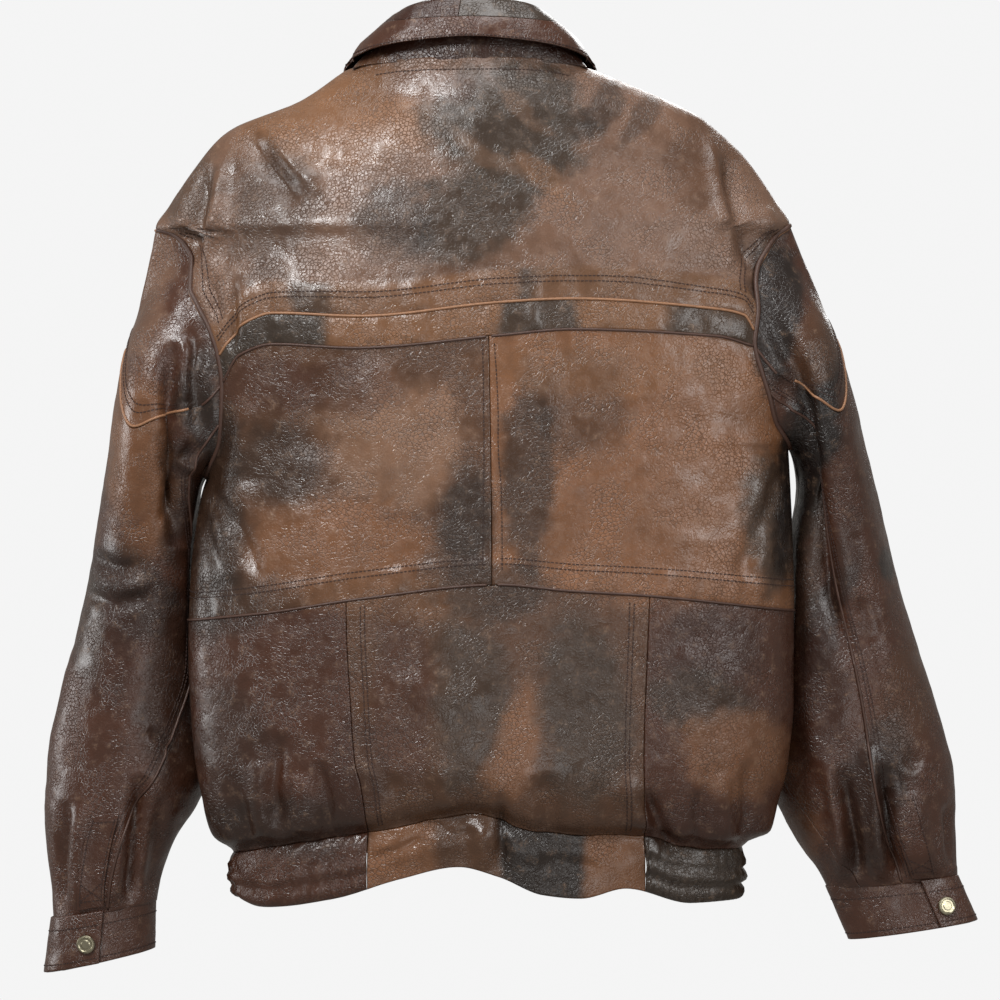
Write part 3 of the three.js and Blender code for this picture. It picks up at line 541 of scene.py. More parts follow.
# The leather blouses over the waistband, puckers along stitched strips, and lies calm at its seams.
PUFF = {"low": (-780, -756), "high": (-735, -690), "height": 3.2, "size": 14}
PUCKER = {"height": 1.3, "size": 9, "lift": 0.8}
CALM = {"side": 0.3, "side_reach": 16, "armhole": 0.2, "armhole_reach": 30, "cuff": 0.85}
FRONT_WAIST = -772
# Slight unevenness all over: height, stretch down the piece, size and seed.
WAVES = [(0.9, 0.7, 46, 21), (0.35, 1, 17, 22), (0.18, 1, 7, 23)]


def gather(x, z, size, seed):
    return noise(x + 2 * noise(x, z, 20, seed + 1), z * 0.16, size, seed)


def relief(p, normal, folds, on_body):
    """How far folds, pinched seams and wrinkles stand out from the form, in millimetres."""
    x, z = p[..., 0], p[..., 2]
    behind = ramp(-normal[..., 1], -0.15, 0.2)
    height = FOLD_SCALE * sum(crease(x, z, *fold) for fold in SHOULDER_FOLDS + folds) * behind
    height = height + sum(crease(x, z, *fold) for fold in FRONT_FOLDS) * (1 - behind)
    for tall, stretch, size, seed in WAVES:
        height = height + tall * noise(x, z * stretch, size, seed)
    if on_body:
        toward_zip = ramp(-np.abs(x - centre_x(z)), -240, -75)
        waist = np.where(behind > 0.5, LEVEL_LINES[WAIST](x), FRONT_WAIST + FRONT_RISE * toward_zip)
        at_armhole = np.minimum(np.abs(x - edge["left"](z)), np.abs(x - edge["right"](z)))
        height = height * lerp(CALM["side"], 1, ramp(at_armhole, 0, CALM["side_reach"]))
        height = height - PINCH["depth"] * np.exp(-((z - waist) / PINCH["reach"]) ** 2)
        puff = ramp(z, *PUFF["low"]) * (1 - ramp(z, *PUFF["high"]))
        height = height + puff * PUFF["height"] * gather(x, z, PUFF["size"], 31)
        for level, low, high in STRIPS:
            above = z - LEVEL_LINES[level](x)
            inside = ramp(above, low - 1, low + 5) * (1 - ramp(above, high - 5, high + 1))
            pucker = PUCKER["height"] * gather(x, z, PUCKER["size"], 40 + level)
            height = height + behind * inside * (pucker + PUCKER["lift"])
    return height


# --- dye, and painted shade in the deep folds where the sleeves meet the body

def srgb(red, green, blue):
    channel = [c / 255 for c in (red, green, blue)]
    return np.array([c / 12.92 if c <= 0.04045 else ((c + 0.055) / 1.055) ** 2.4 for c in channel])


# Dye colours. The near-black one is also used as painted shade in the deep folds where the sleeves meet the
# body.
DYE_AND_SHADE = {
    "tan": srgb(128, 89, 60), "orange": srgb(128, 86, 57), "pink": srgb(118, 88, 70),
    "pale": srgb(142, 106, 82), "grey": srgb(58, 47, 38), "dark": srgb(35, 25, 19),
    "red": srgb(74, 43, 29), "maroon": srgb(54, 29, 20), "near_black_dye_and_shade": srgb(20, 15, 13),
    "brown": srgb(86, 57, 38),
}
# Each patch: centre x, z, half width, half height, turn in degrees, colour, strength. Most colours are dye;
# the patches noted below are painted shade.
BACK_PATCHES = [
    (-100, -172, 84, 46, 8, "tan", 0.9), (146, -250, 85, 62, 0, "pink", 0.9),
    (40, -172, 66, 58, 0, "grey", 0.95), (4, -250, 55, 38, 20, "grey", 0.85),
    (-59, -258, 27, 34, -20, "dark", 0.7), (-157, -250, 42, 62, 10, "dark", 0.55),
    (-228, -215, 26, 40, 0, "grey", 0.6), (112, -158, 14, 34, -35, "dark", 0.6),
    (140, -170, 9, 32, -35, "dark", 0.5), (-30, -140, 40, 14, 0, "red", 0.45),
    (-95, -290, 50, 26, 0, "pink", 0.5), (190, -200, 30, 45, 0, "brown", 0.7),
    (120, -300, 70, 20, 0, "pink", 0.6), (-10, -300, 60, 12, 0, "brown", 0.5),
    (-20, -168, 26, 16, -30, "grey", 0.6), (60, -215, 30, 12, -35, "tan", 0.5),
    (20, -200, 40, 7, -35, "pale", 0.25), (50, -160, 34, 6, -38, "pale", 0.22),
    (-55, -430, 60, 54, 0, "pale", 0.75), (-100, -519, 78, 40, 5, "orange", 0.9),
    (0, -496, 25, 44, 0, "dark", 0.8), (-150, -452, 42, 32, 0, "dark", 0.6),
    (-200, -480, 24, 105, 0, "dark", 0.75), (-161, -388, 40, 26, 0, "red", 0.7),
    (-100, -385, 50, 22, 0, "red", 0.55), (140, -470, 105, 95, 0, "orange", 0.85),
    (52, -455, 24, 85, 0, "dark", 0.75), (98, -400, 44, 48, 20, "dark", 0.5),
    (246, -500, 26, 58, 0, "grey", 0.85), (120, -372, 110, 22, 0, "tan", 0.5),
    (-194, -566, 40, 30, 0, "dark", 0.5), (-55, -560, 80, 20, 0, "tan", 0.4),
    (25, -552, 45, 22, 0, "dark", 0.6), (-150, -640, 60, 55, 0, "red", 0.6),
    (-150, -745, 70, 26, 0, "dark", 0.6), (-51, -640, 28, 70, 0, "red", 0.75),
    (2, -640, 30, 75, 0, "grey", 0.7), (36, -672, 18, 44, -10, "orange", 0.75),
    (93, -650, 40, 82, 0, "grey", 0.75), (200, -600, 50, 26, 0, "maroon", 0.7),
    (190, -640, 46, 24, -10, "grey", 0.7), (216, -686, 48, 34, -15, "orange", 0.7),
    (190, -745, 60, 22, 0, "maroon", 0.6), (-90, -700, 26, 44, 0, "maroon", 0.5),
    (-190, -690, 30, 60, 0, "dark", 0.45), (-258, -275, 24, 34, 0, "pink", 0.85),
    # The near-black patches at x -238, 252, 277 and 300 and the dark patch at x -216 lie in the deep folds
    # where the sleeves meet the body: they are painted shade. The other near-black patches are dye.
    (-271, -440, 34, 88, 6, "orange", 0.8), (-278, -553, 42, 36, 0, "near_black_dye_and_shade", 0.6),
    (-265, -330, 20, 34, 0, "pink", 0.7), (-216, -400, 18, 50, 0, "dark", 0.8),
    (-300, -600, 28, 50, 0, "maroon", 0.6), (-245, -640, 26, 80, 0, "dark", 0.5),
    (-238, -470, 14, 60, 0, "near_black_dye_and_shade", 0.6), (-320, -560, 16, 70, 8, "grey", 0.5),
    (252, -325, 22, 60, 0, "near_black_dye_and_shade", 0.9), (277, -430, 20, 110, -12, "near_black_dye_and_shade", 0.95),
    (290, -345, 20, 44, -10, "brown", 0.7), (300, -560, 16, 70, -14, "near_black_dye_and_shade", 0.7),
    (345, -537, 10, 14, 0, "near_black_dye_and_shade", 0.75), (320, -470, 24, 80, -14, "red", 0.5),
    (370, -640, 30, 60, -14, "brown", 0.5), (290, -640, 26, 60, 0, "maroon", 0.6),
    (275, -540, 12, 60, 0, "grey", 0.5), (350, -690, 22, 30, 0, "dark", 0.5),
    (270, -760, 22, 34, 0, "orange", 0.4), (330, -740, 26, 60, -8, "near_black_dye_and_shade", 0.6),
]
FRONT_PATCHES = [
    (-120, -250, 70, 60, 10, "tan", 0.8), (130, -240, 60, 70, 0, "grey", 0.8),
    (-60, -360, 50, 60, 0, "dark", 0.7), (110, -420, 80, 70, 0, "orange", 0.8),
    (-140, -460, 70, 60, 0, "pale", 0.6), (60, -560, 40, 80, 0, "dark", 0.6),
    (-90, -600, 70, 50, 0, "red", 0.6), (180, -620, 60, 60, 0, "maroon", 0.6),
    (-170, -690, 50, 50, 0, "grey", 0.6), (100, -700, 60, 40, 0, "tan", 0.6),
    (-280, -420, 30, 90, 0, "orange", 0.7), (330, -450, 30, 90, 0, "brown", 0.7),
    (-310, -620, 36, 80, 0, "maroon", 0.6), (370, -650, 36, 70, 0, "dark", 0.6),
]
BASE = {
    "back_yoke": "pink", "back_band": "tan", "back_mid_left": "brown", "back_mid_right": "orange",
    "back_low_left": "red", "back_low_centre": "brown", "back_low_right": "red", "waist_back": "brown",
    "waist_elastic_left": "red", "waist_elastic_right": "grey", "collar_stand": "maroon",
    "collar_fall": "red", "collar_upper_left": "maroon", "collar_upper_right": "grey",
}
BAND_DYES = smooth((-190, 0), (-125, 0), (-110, 1), (24, 1), (36, 0.1), (82, 0.1), (94, 0.9), (155, 0.9),
                   (170, 0.1), (230, 0.1))
STRIP_DYES = smooth(
    (-180, 0.9), (-148, 0.8), (-138, 0.1), (-115, 0.2), (-104, 0.7), (-20, 1), (40, 0.9), (52, 0.1),
    (66, 0.7), (225, 0.7),
)
WAIST_DYES = smooth(
    (-110, 0), (-84, 0.1), (-76, 1), (-26, 0.9), (-16, 0.4), (26, 0.4), (34, 0), (88, 0), (98, 0.9),
    (150, 0.8),
)


RAGGED = 0.12
# A patch is full dye inside the first share of its size and has faded out by the second.
PATCH_EDGE = (0.68, 1.24)


def dye_and_shade_at(p, normal, name):
    x = p[..., 0] + 8 * noise(p[..., 0], p[..., 2], 44, 51) + 1.5 * noise(p[..., 0], p[..., 2], 9, 52)
    z = p[..., 2] + 8 * noise(p[..., 0], p[..., 2], 44, 53) + 1.5 * noise(p[..., 0], p[..., 2], 9, 54)
    behind = normal[..., 1] < 0.1
    colour = np.zeros(p.shape) + DYE_AND_SHADE[BASE.get(name, "red")]
    patches = [(patch, True) for patch in BACK_PATCHES] + [(patch, False) for patch in FRONT_PATCHES]
    # Each patch lays its colour over the base: dye, and painted shade where a patch sits in a deep fold at
    # an armhole.
    for (cx, cz, rx, rz, turn, dye_and_shade, strength), on_back in patches:
        c, s = math.cos(math.radians(turn)), math.sin(math.radians(turn))
        u = ((x - cx) * c + (z - cz) * s) / rx
        v = ((z - cz) * c - (x - cx) * s) / rz
        streak = p[..., 0] + p[..., 2]
        blots = RAGGED * noise(p[..., 0], p[..., 2], 16, 61)
        ragged = blots + RAGGED * noise(streak, p[..., 0] - p[..., 2], 7, 62)
        inside = 1 - ramp(np.hypot(u, v) + ragged, *PATCH_EDGE)
        share = (inside * strength * (behind == on_back))[..., None]
        colour = lerp(colour, DYE_AND_SHADE[dye_and_shade], share)
    if name == "back_band":
        colour = lerp(DYE_AND_SHADE["grey"], DYE_AND_SHADE["tan"], np.clip(BAND_DYES(x), 0, 1)[..., None])
    if name == "waist_back":
        colour = lerp(DYE_AND_SHADE["dark"], DYE_AND_SHADE["orange"], np.clip(WAIST_DYES(x), 0, 1)[..., None])
    if name == "back_yoke":
        strip = 1 - ramp(p[..., 2] - LEVEL_LINES[BAND_TOP](p[..., 0]), 24, 29)
        strip_dye = lerp(DYE_AND_SHADE["grey"], DYE_AND_SHADE["tan"], STRIP_DYES(x)[..., None])
        colour = lerp(colour, strip_dye, (0.85 * strip)[..., None])
    mottle = 1 + 0.10 * noise(p[..., 0], p[..., 2], 22, 71) + 0.08 * noise(p[..., 0], p[..., 2], 5, 72)
    return colour * mottle[..., None]


# --- surfaces of the pieces

EDGE_STEPS = [0, 0.7, 1.8, 3.4]
FINE, COARSE = 3.0, 4.5
EDGE_DROP = 0.7
INNER_SHADE = 0.5
UNDER_SEAM_END = {"left": 223.3, "right": 180.0}
SLEEVE_FRONT = {"left": -136.7, "right": -180.0}


def back_surface(column, level):
    p = back_point(column, level)
    return p, wall_normal(p, BACK)


def front_surface(side):
    def surface(column, level):
        p = front_point(side, column, level)
        return p, wall_normal(p, FRONT)

    return surface


def elastic_surface(side):
    """Runs from the back seam at -1 round the side at 0 to the front waistband."""
    def surface(column, level):
        back = back_point(np.clip(-column if side == "left" else 4 + column, 0, 4), level)
        front = front_point(side, np.clip(column, 0, 1), level)
        behind = (column < 0)[..., None]
        normal = np.where(behind, wall_normal(back, BACK), wall_normal(front, FRONT))
        return np.where(behind, back, front), normal

    return surface


def sleeve_surface(side, place):
    def surface(u, v):
        degrees, along = place(u, v)
        return sleeve_point(side, degrees, along), sleeve_normal(side, degrees, along)

    return surface


CAP_CORNER = 1.2


def cap_place(u, v):
    return u, v * cap_edge(u)


def long_place(side, first, last):
    def place(u, v):
        size = np.abs(u)
        past = np.interp(size, [CAP_END, CAP_END + CAP_CORNER], [cap_edge(CAP_END), 0])
        low = np.where(size <= CAP_END, cap_edge(u), past)
        share = (u - first(low)) / (last(low) - first(low))
        along = lerp(low, 1, v)
        return lerp(first(along), last(along), share), along

    return place


def sleeve_panels(side):
    def front(along):
        return under_seam[side](along) - 360

    outer = long_place(side, front, rear_seam[side])
    under = long_place(side, rear_seam[side], under_seam[side])
    places = {
        "cap": (cap_place, (-CAP_END, CAP_END)),
        "outer": (outer, (SLEEVE_FRONT[side], REAR_START)),
        "under": (under, (REAR_START, UNDER_SEAM_END[side])),
    }
    return {
        f"sleeve_{part}_{side}": (sleeve_surface(side, place), span, (0, 1), FINE)
        for part, (place, span) in places.items()
    }


PLACKETS = {
    "left": {"along": (0.845, 0.985), "middle": (82, 78), "half": (10, 14)},
    "right": {"along": (0.79, 0.985), "middle": (71, 62), "half": (9, 12)},
}
PLACKET_LIFT = 1.9


def placket_surface(side):
    made = PLACKETS[side]

    def surface(u, v):
        degrees = lerp(*made["middle"], v) + u * lerp(*made["half"], v)
        along = lerp(*made["along"], v)
        normal = sleeve_normal(side, degrees, along)
        return sleeve_point(side, degrees, along) + PLACKET_LIFT * normal, normal

    return surface


def cuff_surface(side):
    def surface(u, v):
        return cuff_outer(side, u, v), cuff_normal(side, u)

    return surface


def stand_surface(k, v):
    return lerp(collar_seam(k), collar_fold(k), v[..., None]), collar_outward(k)


def fall_start(k):
    share = ramp(COLLAR["top_end"] - np.abs(k), 0, 0.03)
    return lerp(-COLLAR["over"], upper_depth(k), share)


def lower_fall(k, v):
    return fall_surface(k, lerp(fall_start(k), 1, v))


def upper_fall(k, v):
    return fall_surface(k, lerp(-COLLAR["over"], fall_start(k), v))


ZIP = {"bottom": FRONT_WAIST, "top": -205.5, "lift": -2.6, "inner": 3.1, "outer": 15}


def tape_surface(side):
    def surface(u, z):
        x = centre_x(z) + SIDES[side] * u
        p = wall_at(turn_of(x, z), z, FRONT)
        normal = wall_normal(p, FRONT)
        return p + ZIP["lift"] * normal, normal

    return surface


WAIST_END = 3 / 7
# How far the cuff reaches up over the sleeve, and the collar's stand down behind the yoke.
CUFF_TUCK = 0.16
STAND_TUCK = 0.12
PIECES = {
    "back_yoke": (back_surface, (0, 4), (BAND_TOP, NECK_LEVEL), FINE),
    "back_band": (back_surface, (0, 4), (BAND_LOW, BAND_TOP), FINE),
    "back_mid_left": (back_surface, (0, 2), (LOW, BAND_LOW), FINE),
    "back_mid_right": (back_surface, (2, 4), (LOW, BAND_LOW), FINE),
    "back_low_left": (back_surface, (0, 1), (WAIST, LOW), FINE),
    "back_low_centre": (back_surface, (1, 3), (WAIST, LOW), FINE),
    "back_low_right": (back_surface, (3, 4), (WAIST, LOW), FINE),
    "waist_back": (back_surface, (1, 3), (HEM, WAIST), FINE),
    "collar_stand": (stand_surface, (-1, 1), (-STAND_TUCK, 1), FINE),
    "collar_fall": (lower_fall, (-1, 1), (0, 1), FINE),
    "collar_upper_left": (upper_fall, (-0.35, COLLAR["split"]), (0, 1), FINE),
    "collar_upper_right": (upper_fall, (COLLAR["split"], 0.35), (0, 1), FINE),
}
for side in SIDES:
    PIECES[f"front_{side}"] = (front_surface(side), (0, 1), (WAIST, NECK_LEVEL), COARSE)
    PIECES[f"waist_front_{side}"] = (front_surface(side), (WAIST_END, 1), (HEM, WAIST), COARSE)
    PIECES[f"waist_elastic_{side}"] = (elastic_surface(side), (-1, WAIST_END), (HEM, WAIST), FINE)
    PIECES |= sleeve_panels(side)
    PIECES[f"placket_{side}"] = (placket_surface(side), (-1, 1), (0, 1), FINE)
    cuff_end = CUFFS[side]["end"]
    cuff_span = (cuff_end - CUFF["overlap"] - 360, cuff_end)
    PIECES[f"cuff_{side}"] = (cuff_surface(side), cuff_span, (-CUFF_TUCK, 1), FINE)
    tape_span = (ZIP["inner"], ZIP["outer"])
    PIECES[f"zip_tape_{side}"] = (tape_surface(side), tape_span, (ZIP["bottom"], ZIP["top"]), COARSE)
THICK = {"cuff": CUFF["thickness"], "placket": 1, "collar": 1.6, "zip": 0.8}
RUCHES = {"rows": 3, "depth": 5.4, "pitch": 9}


def folds_for(name):
    if name.startswith(("sleeve", "placket")):
        return SLEEVE_FOLDS["left" if name.endswith("left") else "right"]
    return [] if name.startswith(("cuff", "collar", "zip")) else BODY_FOLDS


def ruching(p, v):
    """Three puffed rows between two stitched lines, gathered all along."""
    row = np.abs(np.sin(np.pi * RUCHES["rows"] * np.clip(v - HEM, 0, 1)))
    run = p[..., 0] + 1.3 * p[..., 1]
    gathers = 0.5 + 0.5 * np.sin(2 * np.pi * run / RUCHES["pitch"] + 2 * noise(run, p[..., 2], 17, 81))
    return RUCHES["depth"] * row ** 0.6 * (0.35 + 0.65 * gathers) - 0.8


def raised(name, u, v):
    """Points on the finished leather with the form's own directions."""
    p, normal = PIECES[name][0](u, v)
    if name.startswith("zip"):
        return p, normal
    height = relief(p, normal, folds_for(name), name.startswith(("back", "front", "waist")))
    if name.startswith(("collar", "cuff")):
        broad = 0.5 * noise(p[..., 0], p[..., 2] + p[..., 1], 16, 91)
        height = broad + 0.2 * noise(p[..., 0], p[..., 2], 5, 92)
    if name.startswith("waist_elastic"):
        height = height + ruching(p, v)
    if name.startswith("sleeve"):
        at_cuff = ramp(v, 0.955, 1) * (not name.startswith("sleeve_cap"))
        side = "left" if name.endswith("left") else "right"
        armhole = np.linalg.norm(p - armhole_point(side, u), axis=-1)
        height = height * (1 - CALM["cuff"] * at_cuff)
        height = height * lerp(CALM["armhole"], 1, ramp(armhole, 0, CALM["armhole_reach"]))
    return p + normal * height[..., None], normal


def spaced(curve, low, high, step):
    """Evenly spread values from low to high along a line, with extra ones close to both ends."""
    values = np.linspace(low, high, 240)
    run = np.concatenate([[0], np.cumsum(np.linalg.norm(np.diff(curve(values), axis=0), axis=1))])
    near = [step for step in EDGE_STEPS if step < run[-1] / 4]
    count = max(2, round((run[-1] - 2 * near[-1]) / step))
    even = np.linspace(near[-1], run[-1] - near[-1], count)
    far = run[-1] - np.array(near[:-1])[::-1]
    places = np.concatenate([near[:-1], even, far])
    return np.interp(places, run, values)


def lengths(p):
    return np.linalg.norm(np.diff(p, axis=0), axis=-1).sum(axis=0)


def quad_area(p):
    across = p[1:, 1:] - p[:-1, :-1]
    other = p[1:, :-1] - p[:-1, 1:]
    return np.linalg.norm(np.cross(across, other), axis=-1).sum() / 2


def mesh_object(name, points, faces):
    mesh = bpy.data.meshes.new(name)
    mesh.from_pydata(points * MM, [], faces)
    mesh.polygons.foreach_set("use_smooth", np.ones(len(mesh.polygons), dtype=bool))
    mesh.update()
    made = bpy.data.objects.new(name, mesh)
    bpy.context.collection.objects.link(made)
    return made


def wall_faces(rows, columns):
    index = np.arange(rows * columns).reshape(rows, columns)
    corners = [index[:-1, :-1], index[:-1, 1:], index[1:, 1:], index[1:, :-1]]
    outer = np.stack(corners, axis=-1).reshape(-1, 4)
    rim = np.concatenate([index[0, :-1], index[:-1, -1], index[-1, :0:-1], index[:0:-1, 0]])
    after = np.roll(rim, -1)
    inner = outer[:, ::-1] + rows * columns
    sides = np.stack([after, rim, rim + rows * columns, after + rows * columns], axis=-1)
    return np.concatenate([outer, inner, sides])


def paint(made, colour):
    # The vertex colour holds the dye and the painted shade in the deep folds at the armholes.
    layer = made.data.color_attributes.new("dye_and_shade", "FLOAT_COLOR", "POINT")
    layer.data.foreach_set("color", np.concatenate([colour, np.ones((len(colour), 1))], axis=1).ravel())


def make_piece(name):
    surface, (u0, u1), (v0, v1), step = PIECES[name]
    thickness = next((t for start, t in THICK.items() if name.startswith(start)), LEATHER)
    u = spaced(lambda k: surface(k, np.full(k.shape, (v0 + v1) / 2))[0], u0, u1, step)
    v = spaced(lambda k: surface(np.full(k.shape, (u0 + u1) / 2), k)[0], v0, v1, step)
    grid_u, grid_v = np.meshgrid(u, v)
    form = surface(grid_u, grid_v)[0]
    outer, normal = raised(name, grid_u, grid_v)
    for lines in (outer, outer[::-1], outer.swapaxes(0, 1), outer.swapaxes(0, 1)[::-1]):
        lines[0] += SEAM * unit(lines[1] - lines[0])
    if name.startswith(("back", "front", "waist", "sleeve", "cuff")):
        rounded = np.ones(outer.shape[:2])
        rounded[[0, -1]] = rounded[:, [0, -1]] = 0
        outer = outer - normal * (EDGE_DROP * (1 - rounded))[..., None]
    points = np.concatenate([outer.reshape(-1, 3), (outer - normal * thickness).reshape(-1, 3)])
    faces = wall_faces(*outer.shape[:2])
    middle_row, middle_column = outer.shape[0] // 2, outer.shape[1] // 2
    a, b, c = (outer[middle_row, middle_column], outer[middle_row, middle_column + 1],
               outer[middle_row + 1, middle_column + 1])
    if np.dot(np.cross(b - a, c - a), normal[middle_row, middle_column]) < 0:
        faces = faces[:, ::-1]
    made = mesh_object("made_" + name, points, faces.tolist())
    colour = dye_and_shade_at(form, normal, name).reshape(-1, 3)
    paint(made, np.concatenate([colour, INNER_SHADE * colour]))
    across, down = lengths(form.swapaxes(0, 1)), lengths(form)
    flat = (across.max() * MM, down.max() * MM)
    area = float(np.clip(quad_area(form) * MM * MM, 0.31 * flat[0] * flat[1], flat[0] * flat[1]))
    return made, (float(flat[0]), float(flat[1])), area


# --- welts, stitches and teeth

def tube(points, radius, sides=6):
    """A closed round cord along a line of points."""
    along = unit(np.gradient(points, axis=0))
    across = unit(np.cross(along, np.array([0.31, 0.9, 0.29])))
    other = np.cross(along, across)
    angles = np.arange(sides) * 2 * np.pi / sides
    rings = points[:, None] + radius * (np.cos(angles)[:, None] * across[:, None]
                                        + np.sin(angles)[:, None] * other[:, None])
    index = np.arange(len(points) * sides).reshape(len(points), sides)
    turned = np.roll(index, -1, axis=1)
    faces = np.stack([index[:-1], turned[:-1], turned[1:], index[1:]], axis=-1).reshape(-1, 4).tolist()
    return rings.reshape(-1, 3), [*faces, index[0][::-1].tolist(), index[-1].tolist()]


def boxes(centres, along, normal, sizes):
    """Small blocks, one at each centre, with sizes along, across and out."""
    across = unit(np.cross(normal, along))
    signs = np.array([[i, j, k] for i in (-1, 1) for j in (-1, 1) for k in (-1, 1)]) / 2
    axes = np.stack([along * sizes[0], across * sizes[1], normal * sizes[2]], axis=1)
    points = centres[:, None] + np.einsum("ck,nkd->ncd", signs, axes)
    corners = np.array([[0, 1, 3, 2], [4, 6, 7, 5], [0, 4, 5, 1], [2, 3, 7, 6], [0, 2, 6, 4], [1, 5, 7, 3]])
    faces = (corners[None] + 8 * np.arange(len(centres))[:, None, None]).reshape(-1, 4)
    return points.reshape(-1, 3), faces.tolist()


def joined(parts):
    points, faces, start = [], [], 0
    for part_points, part_faces in parts:
        points.append(part_points)
        faces += [[start + i for i in face] for face in part_faces]
        start += len(part_points)
    return np.concatenate(points), faces


def at_even_steps(points, step):
    run = np.concatenate([[0], np.cumsum(np.linalg.norm(np.diff(points, axis=0), axis=1))])
    places = np.arange(step / 2, run[-1], step)
    return np.stack([np.interp(places, run, points[:, k]) for k in range(3)], axis=-1)


STITCH = {"pitch": 3.4, "length": 2.3, "width": 0.75, "height": 0.7, "lift": 0.1}
WELT = {"radius": 1.15, "lift": 0.1}


def sewn(name, u, v):
    points, normal = raised(name, u, v)
    centres = at_even_steps(points, STITCH["pitch"])
    shares, known = np.linspace(0, 1, len(centres)), np.linspace(0, 1, len(points))
    facing = unit(np.stack([np.interp(shares, known, normal[:, k]) for k in range(3)], axis=-1))
    along = unit(np.gradient(centres, axis=0))
    sizes = (STITCH["length"], STITCH["width"], STITCH["height"])
    return boxes(centres + STITCH["lift"] * facing, along, facing, sizes)


def level_above(line_level, next_level, distance, u):
    """The level that lies a distance above (or below, if negative) another, for each column."""
    here, there = back_point(u, np.full(u.shape, line_level)), back_point(u, np.full(u.shape, next_level))
    return line_level + (next_level - line_level) * abs(distance) / np.linalg.norm(there - here, axis=-1)


def line(start, end, value, count=260):
    u = np.linspace(start, end, count)
    return u, np.full(u.shape, value)


def upright(value, start, end, count):
    v = np.linspace(start, end, count)
    return np.full(v.shape, value), v


# Distances from a seam to its two rows of stitches, and how wide a column of the panel is, in millimetres.
ROWS_ABOVE = {"yoke": (20, 15.5), "middle": (22, 17.5), "low": (14, 18), "armhole": (10, 14)}
COLUMN_WIDTH = {"low": 116, "armhole": 95}


def stitch_rows():
    rows = []
    across = np.linspace(0.04, 3.96, 300)
    for distance in ROWS_ABOVE["yoke"]:
        rows.append(sewn("back_yoke", across, level_above(BAND_TOP, TIP_LEVEL, distance, across)))
    for name, low, high in (("back_mid_left", 0.03, 1.97), ("back_mid_right", 2.03, 3.97)):
        u = np.linspace(low, high, 200)
        for distance in ROWS_ABOVE["middle"]:
            rows.append(sewn(name, u, level_above(LOW, BAND_LOW, distance, u)))
    for start, inward in ((1, 1), (3, -1)):
        for distance in ROWS_ABOVE["low"]:
            column = start + inward * distance / COLUMN_WIDTH["low"]
            rows.append(sewn("back_low_centre", *upright(column, WAIST + 0.03, LOW - 0.03, 120)))
    for column, name in ((2 - 0.04, "back_mid_left"), (2 + 0.04, "back_mid_right")):
        rows.append(sewn(name, *upright(column, LOW + 0.12, BAND_LOW - 0.05, 120)))
    for start, inward in ((0, 1), (4, -1)):
        for distance in ROWS_ABOVE["armhole"]:
            column = start + inward * distance / COLUMN_WIDTH["armhole"]
            rows.append(sewn("back_yoke", *upright(column, BAND_TOP + 0.25, TIP_LEVEL - 0.05, 90)))
    for side in SIDES:
        for share in (0.88, 0.82):
            rows.append(sewn(f"sleeve_cap_{side}", *line(-100, 100, share)))
        for row in (1 / 3, 2 / 3):
            rows.append(sewn(f"waist_elastic_{side}", *line(-0.97, WAIST_END - 0.02, HEM + row)))
        for degrees in (REAR_START - 6, REAR_START - 9):
            rows.append(sewn(f"sleeve_outer_{side}", *upright(degrees, 0.03, 0.98, 300)))
        for share in (0.1, 0.9):
            rows.append(sewn(f"placket_{side}", *line(-0.85, 0.85, share, 40)))
        for place in (-0.8, 0.8):
            rows.append(sewn(f"placket_{side}", *upright(place, 0.06, 0.94, 60)))
        u = np.linspace(-0.8, 0.8, 30)
        for lean in (-1, 1):
            rows.append(sewn(f"placket_{side}", u, 0.8 + lean * u * 0.11))
        for share in (0.14, 0.86):
            end = CUFFS[side]["end"]
            rows.append(sewn(f"cuff_{side}", *line(end - 398, end - 3, share)))
    rows.append(sewn("collar_fall", *line(-0.97, 0.97, 0.92, 400)))
    rows.append(sewn("back_yoke", *line(0.75, 3.25, NECK_LEVEL - 0.08, 200)))
    return rows


def welt(name, u, v):
    points, normal = raised(name, u, v)
    return tube(points + WELT["lift"] * normal, WELT["radius"])


ALLOWANCE = {"radius": 2.2, "side": 1.1, "sunk": 1}


def seam_allowances():
    """Turned-in edges behind the armholes, the shoulder lines and the side seams."""
    found = []
    for side, column in (("left", 0.0), ("right", 4.0)):
        found.append(tube(armhole_point(side, np.linspace(1, 359, 260)), ALLOWANCE["radius"]))
        for low, high in ((TIP_LEVEL, NECK_LEVEL - 0.03), (HEM + 0.1, PIT_LEVEL)):
            level = np.linspace(low, high, 120)
            p = back_point(np.full(level.shape, column), level)
            normal = wall_normal(p, BACK)
            height = relief(p, normal, BODY_FOLDS, True) - ALLOWANCE["sunk"]
            found.append(tube(p + normal * height[..., None], ALLOWANCE["side"]))
    return found


def welts():
    found = {"pale": [], "dark": []}
    found["pale"].append(welt("back_yoke", *line(0.02, 3.98, BAND_TOP + 0.004, 320)))
    for level in (BAND_LOW - 0.004, LOW + 0.004):
        found["dark"].append(welt("back_mid_left", *line(0.02, 1.98, level)))
        found["dark"].append(welt("back_mid_right", *line(2.02, 3.98, level)))
    for side in SIDES:
        found["pale"].append(welt(f"sleeve_cap_{side}", *line(-108, 108, 0.985)))
        found["pale"].append(welt(f"sleeve_cap_{side}", *line(-112, 112, 0.012)))
        found["dark"].append(welt(f"sleeve_outer_{side}", *upright(REAR_START - 0.6, 0.01, 0.99, 320)))
        for end in (-CAP_END, CAP_END):
            found["dark"].append(welt(f"sleeve_cap_{side}", *upright(float(end), 0.01, 0.99, 320)))
    return found


